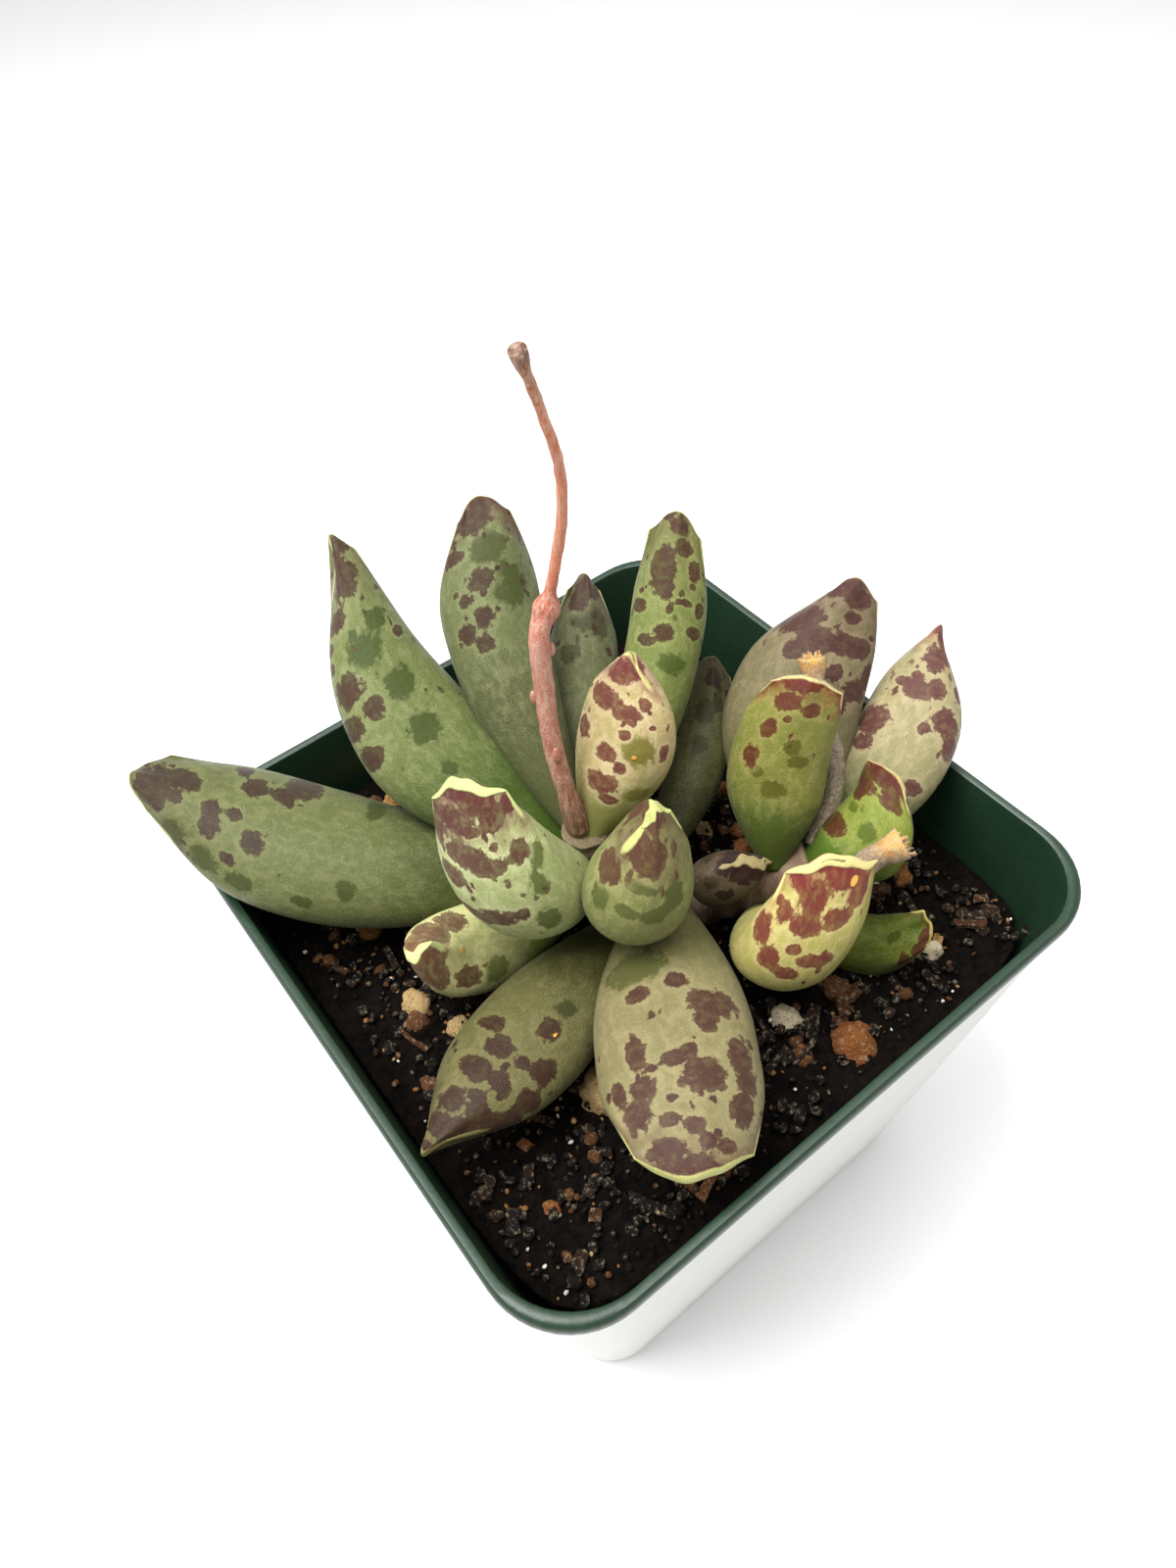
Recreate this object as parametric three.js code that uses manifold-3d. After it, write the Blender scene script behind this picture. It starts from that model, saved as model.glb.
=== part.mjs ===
// A plover eggs plant (Adromischus cooperi) in a small square nursery pot.
// Millimetres, +Z up. The origin is the middle of the pot's underside.
// +X runs along the pot's front right side, +Y along its front left side,
// so the pot's nearest corner in the usual view is at -X, -Y.
import * as THREE from "three";
import { mergeVertices } from "three/addons/utils/BufferGeometryUtils.js";
import Module from "manifold-3d";

// Pot: a thin moulded nursery pot, tapered, with a narrow outward lip.
const POT_HEIGHT = 57;
const LIP_WIDTH = 62.5;
const LIP_DEPTH = 1.6;
const LIP_STEP = 0.25;
const BASE_WIDTH = 49.5;
const WALL = 0.75;
const FLOOR = 1.4;
const RIM_CORNER = 7;
const BASE_CORNER = 6;
const DRAIN_RADIUS = 2.5;
const DRAIN_OFFSET = 13;

// Potting mix: its surface lies a little under the rim, with grit half sunk in it.
const SOIL_LEVEL = 48.3;
const SOIL_RELIEF = 0.7;
const SOIL_GAP = 0.3;
const GRAIN_COUNT = 64;
const GRAIN_MIN = 0.9;
const GRAIN_MAX = 2.3;
const GRAIN_SEED = 7;

// Pieces that touch in life keep this much air between them.
const SEAT = 0.3;

// Stems: three short branches from one stock that is buried in the mix.
const STEMS = [
  { path: [[-0.6, 0.6, 42], [-1.6, 1.9, 50], [-1.8, 2.3, 55], [-1.9, 2.4, 59]], radius: [3.2, 2.6, 2.2] },
  { path: [[0.4, -0.8, 42], [0.9, -2.2, 49], [0.9, -2.7, 53], [0.8, -2.8, 57]], radius: [3.2, 2.5, 2.0] },
  { path: [[0.6, -0.8, 44], [6.4, -7.6, 51.3], [10.3, -10.6, 54.3], [12.8, -12.2, 56]], radius: [3.0, 2.3, 2.0] },
];

// Flower stalk of the past season: stout to its one joint, thin and dry above it.
const STALK_PATH = [
  [-2.4, 2.6, 59.6],
  [-2.9, 3.1, 64],
  [-2.8, 4.8, 70],
  [-2.1, 6.1, 75],
  [-1.4, 6.9, 80],
  [-0.1, 7.3, 82],
  [1.5, 6.7, 89.5],
  [1.4, 6.2, 94],
  [-0.5, 4.9, 100],
  [-2.6, 3.6, 105.5],
];
const STALK_JOINT = 0.48;
const STALK_LOWER = 0.85;
const STALK_UPPER = 0.45;

// Two older flower stalks were cut short and have dried.
const STUBS = [
  { name: "cut_stalk_back", path: [[13.6, -11.4, 57], [16.6, -10.3, 59.2], [18.6, -8.3, 63], [19.2, -5, 66.5], [20.5, -2.6, 70]],
    radius: 0.9 },
  { name: "cut_stalk_right", path: [[10.8, -13.5, 56.6], [11.5, -15.6, 58.6], [12.2, -16.8, 60], [13.6, -17.5, 61.3], [14.8, -18.1, 62.3],
      [16.1, -18.7, 63]], radius: 1.1 },
];

// Leaves. root: where the leaf leaves its stem. heading and rise: the way its chord
// points, in degrees about +Z and above level. roll turns its width about the chord.
// sag and swing bend its middle down and sideways. tip, belly and neck give its
// outline: end width and root width as shares of the full width, and where it is widest.
const LEAVES = [
  { name: "leaf_left_low", root: [-2.5, 3.5, 51.5], heading: 137, rise: 17, length: 42.5, width: 13.8,
    depth: 9, sag: 1, swing: 3.5, tip: 0.42, belly: 0.6, neck: 0.24 },
  { name: "leaf_left_tall", root: [-2.2, 3, 54.5], heading: 99, rise: 38, length: 37.5, width: 12.2,
    depth: 8.3, sag: 2, swing: 4.5, tip: 0.12, belly: 0.45, neck: 0.24, taper: 1.6, wave: 0.25 },
  { name: "leaf_back_left", root: [-1.8, 2.6, 57.5], heading: 73, rise: 42, length: 32.5, width: 9.4,
    depth: 7.6, sag: 2, swing: 2, tip: 0.45, belly: 0.65, neck: 0.26 },
  { name: "leaf_left_upright", root: [-2.6, 1.6, 53.5], heading: 177, rise: 64, length: 24, width: 10.6,
    depth: 9, roll: 45, sag: 4.5, swing: 0, tip: 0.55, belly: 0.5, neck: 0.26 },
  { name: "leaf_left_small", root: [-2.9, 0.9, 51.7], heading: -175.6, rise: 29.7, length: 22.2, width: 6.4,
    depth: 8.3, roll: 50, sag: 1.7, swing: -5, tip: 0.4, belly: 0.58, neck: 0.26 },
  { name: "leaf_front_left", root: [-0.5, -3.2, 50], heading: -162, rise: 13, length: 31.5, width: 10.6,
    depth: 6.8, sag: 0.3, swing: 0.3, tip: 0.12, belly: 0.55, neck: 0.26, wave: 0.25 },
  { name: "leaf_front_large", root: [1.8, -3.6, 52.5], heading: -125, rise: 16, length: 31.5, width: 13.2,
    depth: 8.6, sag: 0.8, swing: -0.3, tip: 0.6, belly: 0.56, neck: 0.26 },
  { name: "leaf_centre_front", root: [-0.3, -2.8, 56.6], heading: -110, rise: 71, length: 17.5, width: 9.3,
    depth: 8.9, roll: 10, sag: 3.4, swing: -2.6, tip: 0.18, belly: 0.5, neck: 0.26 },
  { name: "leaf_centre_back", root: [-1.4, 2, 58.5], heading: 16, rise: 69, length: 18.7, width: 9,
    depth: 7.5, sag: 1.5, swing: -0.7, tip: 0.15, belly: 0.52, neck: 0.28, wave: 0.25 },
  { name: "leaf_back_small", root: [-1.4, 3, 54], heading: 51, rise: 36, length: 27, width: 6.8,
    depth: 5.4, sag: 2, swing: 0.3, tip: 0.35, belly: 0.62, neck: 0.26 },
  { name: "leaf_back_tall", root: [-1, 1.8, 55], heading: 31, rise: 43, length: 32.3, width: 7.1,
    depth: 6.2, sag: 2.5, swing: -1, tip: 0.6, belly: 0.6, neck: 0.28 },
  { name: "leaf_back_short", root: [1.4, -2, 53], heading: 31, rise: 23, length: 23, width: 6,
    depth: 4.2, sag: 1.5, swing: -1.3, tip: 0.6, belly: 0.6, neck: 0.28 },
  { name: "leaf_right_broad", root: [12, -10.5, 53.5], heading: 33, rise: 38, length: 28, width: 12.8,
    depth: 8.3, sag: 2, swing: 3.3, tip: 0.3, belly: 0.5, neck: 0.24 },
  { name: "leaf_right_upright", root: [9.8, -10.2, 56], heading: 33, rise: 65, length: 18.7, width: 8.8,
    depth: 7, sag: 1.5, swing: 1.3, tip: 0.6, belly: 0.42, neck: 0.26 },
  { name: "leaf_right_pointed", root: [12.6, -11.4, 54.4], heading: 15, rise: 27, length: 26.6, width: 9.6,
    depth: 6.8, sag: 2, swing: -2, tip: 0.12, belly: 0.55, neck: 0.24, wave: 0.25 },
  { name: "leaf_right_middle", root: [12.6, -12, 55.3], heading: -9, rise: 46, length: 11.8, width: 8,
    depth: 6, sag: 1, swing: -2, tip: 0.55, belly: 0.42, neck: 0.34 },
  { name: "leaf_right_front", root: [8.5, -10.5, 50.8], heading: -87, rise: 65, length: 17, width: 9.8,
    depth: 7.5, roll: -31, sag: 5.2, swing: -1.9, tip: 0.78, belly: 0.5, neck: 0.26 },
  { name: "leaf_right_low", root: [9.5, -11, 52], heading: -64, rise: 12, length: 14.8, width: 6,
    depth: 4.3, roll: 60, sag: 1.8, swing: -3.5, tip: 0.6, belly: 0.6, neck: 0.3 },
  { name: "leaf_centre_small", root: [5.4, -6.8, 52.5], heading: -58, rise: 58, length: 7.7, width: 6.4,
    depth: 4.8, roll: -50, sag: 0.3, swing: -1.8, tip: 0.55, belly: 0.6, neck: 0.28 },
];
const LEAF_SIDES = 16;
const LEAF_STATIONS = [0, 0.06, 0.14, 0.24, 0.35, 0.47, 0.59, 0.7, 0.8, 0.88, 0.95, 1];
const CREST_THICKNESS = 0.84;
const CREST_RIDGE = 0.5;
const CREST_WAVE = 0.5;
const CREST_ARCH = 0.06;
const CREST_STARTS = 0.6;

const wasm = await Module();
wasm.setup();

function smooth(from, to, value) {
  const u = THREE.MathUtils.clamp((value - from) / (to - from), 0, 1);
  return u * u * (3 - 2 * u);
}

// A repeatable stream of numbers in 0..1.
function seeded(seed) {
  let state = seed;
  return () => {
    state = (state * 1664525 + 1013904223) % 4294967296;
    return state / 4294967296;
  };
}

// A closed solid through rings of equal point counts, each running anticlockwise
// about the direction of travel. Flat rings end in a fan; the crest of a leaf is
// a thin slot, so its ends are laced straight across, alike on both faces.
function loft(rings, laced = false) {
  const count = rings[0].length;
  const points = rings.flat();
  const faces = [];
  for (let i = 0; i + 1 < rings.length; i++) {
    for (let k = 0; k < count; k++) {
      const a = i * count + k;
      const b = i * count + ((k + 1) % count);
      faces.push(a, b, b + count, a, b + count, a + count);
    }
  }
  const last = (rings.length - 1) * count;
  const triangle = (base, a, b, c, turned) => {
    faces.push(base + a, base + (turned ? c : b), base + (turned ? b : c));
  };
  for (const [base, turned] of [[0, true], [last, false]]) {
    if (laced) {
      for (let k = 0; k < count / 2; k++) {
        const far = (count - k) % count;
        const next = count - k - 1;
        triangle(base, k, k + 1, next, turned && k + 1 !== next);
        if (k > 0 && k + 1 !== next) triangle(base, k, next, far, turned);
        if (k + 1 === next) triangle(base, k, k + 1, far, turned);
      }
    } else {
      for (let k = 1; k + 1 < count; k++) triangle(base, 0, k, k + 1, turned);
    }
  }
  const geometry = new THREE.BufferGeometry().setFromPoints(points);
  geometry.setIndex(faces.filter((_, i) => {
    const at = i - (i % 3);
    return faces[at] !== faces[at + 1] && faces[at + 1] !== faces[at + 2] && faces[at] !== faces[at + 2];
  }));
  return geometry;
}

function toSolid(geometry) {
  const bare = geometry.clone();
  bare.deleteAttribute("normal");
  bare.deleteAttribute("uv");
  const merged = mergeVertices(bare, 1e-4);
  return new wasm.Manifold(new wasm.Mesh({
    numProp: 3,
    vertProperties: merged.attributes.position.array,
    triVerts: new Uint32Array(merged.index.array),
  }));
}

function toGeometry(solid) {
  const mesh = solid.getMesh();
  const geometry = new THREE.BufferGeometry();
  geometry.setAttribute("position", new THREE.BufferAttribute(mesh.vertProperties, 3));
  geometry.setIndex(new THREE.BufferAttribute(mesh.triVerts, 1));
  geometry.computeVertexNormals();
  return geometry;
}

// One level of a rounded square, as points at height z.
function squareRing(width, corner, z, steps = 4) {
  const half = width / 2;
  const shape = new THREE.Shape();
  shape.absarc(half - corner, half - corner, corner, 0, Math.PI / 2);
  shape.absarc(corner - half, half - corner, corner, Math.PI / 2, Math.PI);
  shape.absarc(corner - half, corner - half, corner, Math.PI, 1.5 * Math.PI);
  shape.absarc(half - corner, corner - half, corner, 1.5 * Math.PI, 2 * Math.PI);
  const ring = [];
  for (const arc of shape.curves.filter((curve) => curve.isEllipseCurve)) {
    for (const p of arc.getPoints(steps)) ring.push(new THREE.Vector3(p.x, p.y, z));
  }
  return ring;
}

// A round tube along a curve, its radius given by a function of the share travelled.
function tube(curve, steps, sides, radiusAt) {
  const frames = curve.computeFrenetFrames(steps, false);
  const rings = [];
  for (let i = 0; i <= steps; i++) {
    const centre = curve.getPointAt(i / steps);
    const radius = radiusAt(i / steps);
    rings.push(Array.from({ length: sides }, (_, k) => {
      const angle = (2 * Math.PI * k) / sides;
      return centre.clone()
        .addScaledVector(frames.normals[i], radius * Math.cos(angle))
        .addScaledVector(frames.binormals[i], radius * Math.sin(angle));
    }));
  }
  return loft(rings);
}

function curveThrough(points) {
  return new THREE.CatmullRomCurve3(points.map((p) => new THREE.Vector3(...p)));
}

// Radius that runs smoothly through values spaced evenly along a piece.
function radiusThrough(values) {
  return (share) => {
    const place = share * (values.length - 1);
    const i = Math.min(Math.floor(place), values.length - 2);
    return THREE.MathUtils.lerp(values[i], values[i + 1], smooth(0, 1, place - i));
  };
}

// Half width and half depth of a leaf at a share of its length.
function leafHalfWidth(leaf, share) {
  const grow = Math.sin(Math.min(share / leaf.belly, 1) * Math.PI / 2) ** 1.15;
  const fade = Math.max((share - leaf.belly) / (1 - leaf.belly), 0) ** (leaf.taper ?? 2.1);
  return (leaf.width / 2) * (leaf.neck + (1 - leaf.neck) * grow) * (1 - (1 - leaf.tip) * fade);
}

function leafHalfDepth(leaf, share) {
  const thickest = leaf.belly * 0.85;
  const grow = Math.sin(Math.min(share / thickest, 1) * Math.PI / 2) ** 1.1;
  const fade = (1 - Math.max((share - thickest) / (1 - thickest), 0) ** 2.2) ** 0.75;
  const edge = CREST_THICKNESS / 2;
  const full = leaf.depth / 2;
  return share < thickest ? full * (leaf.neck + (1 - leaf.neck) * grow) : edge + (full - edge) * fade;
}

// A fleshy leaf: narrow at its root, round in section at its belly, and drawn
// out to a thin waved crest across its tip and a little way down both sides.
function leafGeometry(leaf) {
  const heading = THREE.MathUtils.degToRad(leaf.heading);
  const rise = THREE.MathUtils.degToRad(leaf.rise);
  const along = new THREE.Vector3(
    Math.cos(rise) * Math.cos(heading), Math.cos(rise) * Math.sin(heading), Math.sin(rise));
  const roll = THREE.MathUtils.degToRad(leaf.roll ?? 0);
  const across = new THREE.Vector3(-Math.sin(heading), Math.cos(heading), 0).applyAxisAngle(along, roll);
  const out = along.clone().cross(across);
  const phase = leaf.heading / 20;
  const wave = leaf.wave ?? CREST_WAVE;
  const rings = LEAF_STATIONS.map((share) => {
    const halfWidth = leafHalfWidth(leaf, share);
    const halfDepth = leafHalfDepth(leaf, share);
    const crest = smooth(CREST_STARTS, 1, share);
    const ridge = CREST_RIDGE * smooth(CREST_STARTS, 0.85, share);
    const bend = 4 * share * (1 - share);
    return Array.from({ length: LEAF_SIDES }, (_, k) => {
      const angle = (2 * Math.PI * k) / LEAF_SIDES;
      const side = Math.cos(angle);
      const ripple = 0.6 * Math.sin(3.6 * side + phase)
        + 0.7 * side ** 4 * Math.sin(15 * share + 1.7 * phase + side);
      const x = halfWidth * side + Math.sign(side) * ridge * side ** 8;
      const y = halfDepth * Math.sin(angle) + wave * crest * ripple;
      const z = leaf.length * (share - CREST_ARCH * crest * side * side);
      return new THREE.Vector3(...leaf.root)
        .addScaledVector(along, z)
        .addScaledVector(out, y - leaf.sag * bend)
        .addScaledVector(across, x + leaf.swing * bend);
    });
  });
  return loft(rings, true);
}

// The same leaf a little stouter all round, for the air left beside it.
function leafGrown(leaf) {
  return toSolid(leafGeometry({ ...leaf, width: leaf.width + 2 * SEAT, depth: leaf.depth + 2 * SEAT }));
}

function stemSolid(extra) {
  return STEMS
    .map(({ path, radius }) => {
      const radiusAt = radiusThrough(radius);
      return toSolid(tube(curveThrough(path), 7, 10, (share) => radiusAt(share) + extra));
    })
    .reduce((joined, branch) => joined.add(branch));
}

function potSolid() {
  const wallTop = LIP_WIDTH - 2 * LIP_STEP;
  const lipFoot = POT_HEIGHT - LIP_DEPTH;
  const taper = (wallTop - BASE_WIDTH) / POT_HEIGHT;
  const outside = toSolid(loft([
    squareRing(BASE_WIDTH - 1, BASE_CORNER - 0.5, 0),
    squareRing(BASE_WIDTH, BASE_CORNER, 0.6),
    squareRing(BASE_WIDTH + taper * lipFoot, RIM_CORNER, lipFoot),
    squareRing(LIP_WIDTH, RIM_CORNER + LIP_STEP, lipFoot + 0.4),
    squareRing(LIP_WIDTH, RIM_CORNER + LIP_STEP, POT_HEIGHT - 0.4),
    squareRing(LIP_WIDTH - 0.8, RIM_CORNER + 0.1, POT_HEIGHT),
  ]));
  const inside = toSolid(loft([
    squareRing(BASE_WIDTH - 2 * WALL, BASE_CORNER - WALL, FLOOR),
    squareRing(wallTop - 2 * WALL, RIM_CORNER - WALL, POT_HEIGHT),
    squareRing(wallTop - 2 * WALL + taper, RIM_CORNER - WALL, POT_HEIGHT + 1),
  ]));
  let pot = outside.subtract(inside);
  for (const [sx, sy] of [[1, 1], [-1, 1], [-1, -1], [1, -1]]) {
    const hole = new THREE.CylinderGeometry(DRAIN_RADIUS, DRAIN_RADIUS, 2 * FLOOR + 1, 12);
    hole.rotateX(Math.PI / 2).translate(sx * DRAIN_OFFSET, sy * DRAIN_OFFSET, 0);
    pot = pot.subtract(toSolid(hole));
  }
  return pot;
}

// Height of the mix: low swells, a little higher round the stems.
function soilHeight(x, y) {
  const swell = Math.sin(0.21 * x + 1.1) * Math.cos(0.17 * y - 0.4) + 0.5 * Math.sin(0.43 * x - 0.38 * y);
  return SOIL_LEVEL + SOIL_RELIEF * 0.6 * swell;
}

function soilSolid() {
  const inner = (z) => {
    const wallTop = LIP_WIDTH - 2 * LIP_STEP;
    return BASE_WIDTH + ((wallTop - BASE_WIDTH) * z) / POT_HEIGHT - 2 * WALL - 2 * SOIL_GAP;
  };
  const foot = FLOOR + SOIL_GAP;
  const rings = [
    squareRing(inner(foot), BASE_CORNER - WALL - SOIL_GAP, foot),
    squareRing(inner(SOIL_LEVEL - 1.2), RIM_CORNER - WALL - SOIL_GAP, SOIL_LEVEL - 1.2),
  ];
  const width = inner(SOIL_LEVEL);
  for (const share of [0.985, 0.86, 0.7, 0.54, 0.38, 0.22, 0.08]) {
    const ring = squareRing(width * share, (RIM_CORNER - WALL - SOIL_GAP) * share, 0);
    for (const p of ring) p.z = soilHeight(p.x, p.y);
    rings.push(ring);
  }
  let soil = toSolid(loft(rings));
  const draw = seeded(GRAIN_SEED);
  const reach = width / 2 - GRAIN_MAX - 0.6;
  for (let i = 0; i < GRAIN_COUNT; i++) {
    const size = GRAIN_MIN + (GRAIN_MAX - GRAIN_MIN) * draw() ** 2.2;
    const x = (2 * draw() - 1) * reach;
    const y = (2 * draw() - 1) * reach;
    const grain = new THREE.IcosahedronGeometry(size, 0);
    grain.scale(1, 0.6 + 0.35 * draw(), 0.55 + 0.25 * draw());
    grain.rotateX(draw() * 0.8).rotateZ(draw() * 6).translate(x, y, soilHeight(x, y) - 0.12 * size);
    soil = soil.add(toSolid(grain));
  }
  return soil;
}

function stalkGeometry() {
  const radiusAt = (share) => {
    const lower = STALK_LOWER + 0.35 * smooth(0.12, 0, share);
    const upper = STALK_UPPER * (1 - 0.2 * smooth(0.6, 0.92, share));
    const collar = 0.32 * Math.exp(-(((share - STALK_JOINT) / 0.018) ** 2));
    const flare = 0.25 * smooth(0.95, 0.99, share);
    return THREE.MathUtils.lerp(lower, upper, smooth(STALK_JOINT - 0.01, STALK_JOINT + 0.04, share))
      + collar + flare;
  };
  return tube(curveThrough(STALK_PATH), 30, 9, radiusAt);
}

// A dried stub ends in a ragged mouth: every other point of its last ring stands up.
function stubGeometry({ path, radius }) {
  const flare = (share) => radius * (1 + 0.3 * smooth(0.8, 1, share));
  const geometry = tube(curveThrough(path), 7, 8, flare);
  const at = geometry.attributes.position;
  const aim = new THREE.Vector3(...path.at(-1)).sub(new THREE.Vector3(...path.at(-2))).normalize();
  for (let i = at.count - 8; i < at.count; i += 2) {
    at.setXYZ(i, at.getX(i) + aim.x * 0.5, at.getY(i) + aim.y * 0.5, at.getZ(i) + aim.z * 0.5);
  }
  return geometry;
}

const FINISH = {
  pot: { color: 0x1f4a35, roughness: 0.45 },
  soil: { color: 0x1c1510, roughness: 0.95 },
  stem: { color: 0x6b4a42, roughness: 0.75 },
  stalk: { color: 0xc4775f, roughness: 0.7 },
  stub: { color: 0x8a7a6c, roughness: 0.85 },
  leaf: { color: 0x7d9068, roughness: 0.6 },
};

const group = new THREE.Group();
function place(name, solid, finish) {
  const material = new THREE.MeshStandardMaterial({ ...FINISH[finish], metalness: 0 });
  const mesh = new THREE.Mesh(toGeometry(solid), material);
  mesh.name = name;
  group.add(mesh);
}

const stems = stemSolid(0);
const stemsGrown = stemSolid(SEAT);
place("pot", potSolid(), "pot");
place("stems", stems, "stem");

// Each leaf stops short of the stem, and of any leaf before it that it presses on.
const taken = [];
const standing = [stemsGrown];
for (const leaf of LEAVES) {
  let solid = toSolid(leafGeometry(leaf)).subtract(stemsGrown);
  for (const other of taken) {
    if (solid.intersect(other).volume() > 0) solid = solid.subtract(other);
  }
  const grown = leafGrown(leaf);
  taken.push(grown);
  standing.push(grown);
  place(leaf.name, solid, "leaf");
}

const stalkSpace = taken.reduce((space, leaf) => space.add(leaf), stemsGrown);
place("flower_stalk", toSolid(stalkGeometry()).subtract(stalkSpace), "stalk");
for (const stub of STUBS) place(stub.name, toSolid(stubGeometry(stub)).subtract(stalkSpace), "stub");

// The mix fills the pot round the buried stock, with plain holes and hollows for what it holds.
place("soil", standing.reduce((soil, piece) => soil.subtract(piece), soilSolid()), "soil");

export default group;
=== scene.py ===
"""Looks of a spotted succulent in a small square nursery pot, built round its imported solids."""

from __future__ import annotations

import logging
import math
from dataclasses import dataclass, replace
from enum import Enum, IntEnum
from typing import Callable, Iterable, Sequence

import bmesh
import bpy
from mathutils import Matrix, Vector, noise

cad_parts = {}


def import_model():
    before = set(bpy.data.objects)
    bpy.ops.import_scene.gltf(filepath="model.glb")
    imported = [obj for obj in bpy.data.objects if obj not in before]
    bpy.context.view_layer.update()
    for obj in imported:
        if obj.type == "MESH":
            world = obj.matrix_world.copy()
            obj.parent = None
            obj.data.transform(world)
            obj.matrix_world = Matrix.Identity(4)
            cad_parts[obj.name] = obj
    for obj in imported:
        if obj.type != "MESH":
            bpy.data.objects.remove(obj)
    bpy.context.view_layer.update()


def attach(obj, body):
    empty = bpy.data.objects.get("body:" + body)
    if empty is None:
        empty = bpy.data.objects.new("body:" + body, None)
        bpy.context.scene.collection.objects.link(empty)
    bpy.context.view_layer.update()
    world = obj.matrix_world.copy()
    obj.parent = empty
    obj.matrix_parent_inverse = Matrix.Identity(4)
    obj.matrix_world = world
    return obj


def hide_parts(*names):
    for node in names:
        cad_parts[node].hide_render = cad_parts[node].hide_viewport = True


MM = 0.001
LOG = logging.getLogger("potted_succulent")

Colour = tuple[float, float, float, float]
Point = tuple[float, float, float]
Shades = tuple[tuple[float, str], ...]
Blotch = tuple[float, float, float, float]
Node = bpy.types.Node
Socket = bpy.types.NodeSocket
NodeTree = bpy.types.NodeTree
Material = bpy.types.Material


def tone(code: str) -> Colour:
    """Turn a colour code into linear light.

    Args:
        code: Six hexadecimal digits, as a paint chart gives them.

    Returns:
        The colour as red, green, blue and an alpha of 1.
    """
    parts = [int(code[i : i + 2], 16) / 255 for i in (0, 2, 4)]
    red, green, blue = (p / 12.92 if p <= 0.04045 else ((p + 0.055) / 1.055) ** 2.4 for p in parts)
    return (red, green, blue, 1.0)


def ease(start: float, end: float, value: float) -> float:
    """Rise smoothly from 0 at start to 1 at end.

    Args:
        start: Where the rise begins.
        end: Where it ends.
        value: The place that is asked about.

    Returns:
        The height of the rise there.
    """
    u = min(max((value - start) / (end - start), 0.0), 1.0)
    return u * u * (3 - 2 * u)


class Dice:
    """A repeatable stream of numbers from 0 to 1."""

    FACTOR = 1664525
    STEP = 1013904223
    RANGE = 4294967296

    def __init__(self, seed: int) -> None:
        """Start the stream at a seed."""
        self.state = seed

    def roll(self) -> float:
        """Give the next number."""
        self.state = (self.state * self.FACTOR + self.STEP) % self.RANGE
        return self.state / self.RANGE

    def between(self, low: float, high: float) -> float:
        """Give the next number, spread from low to high."""
        return low + (high - low) * self.roll()


# Shader wiring


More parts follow.
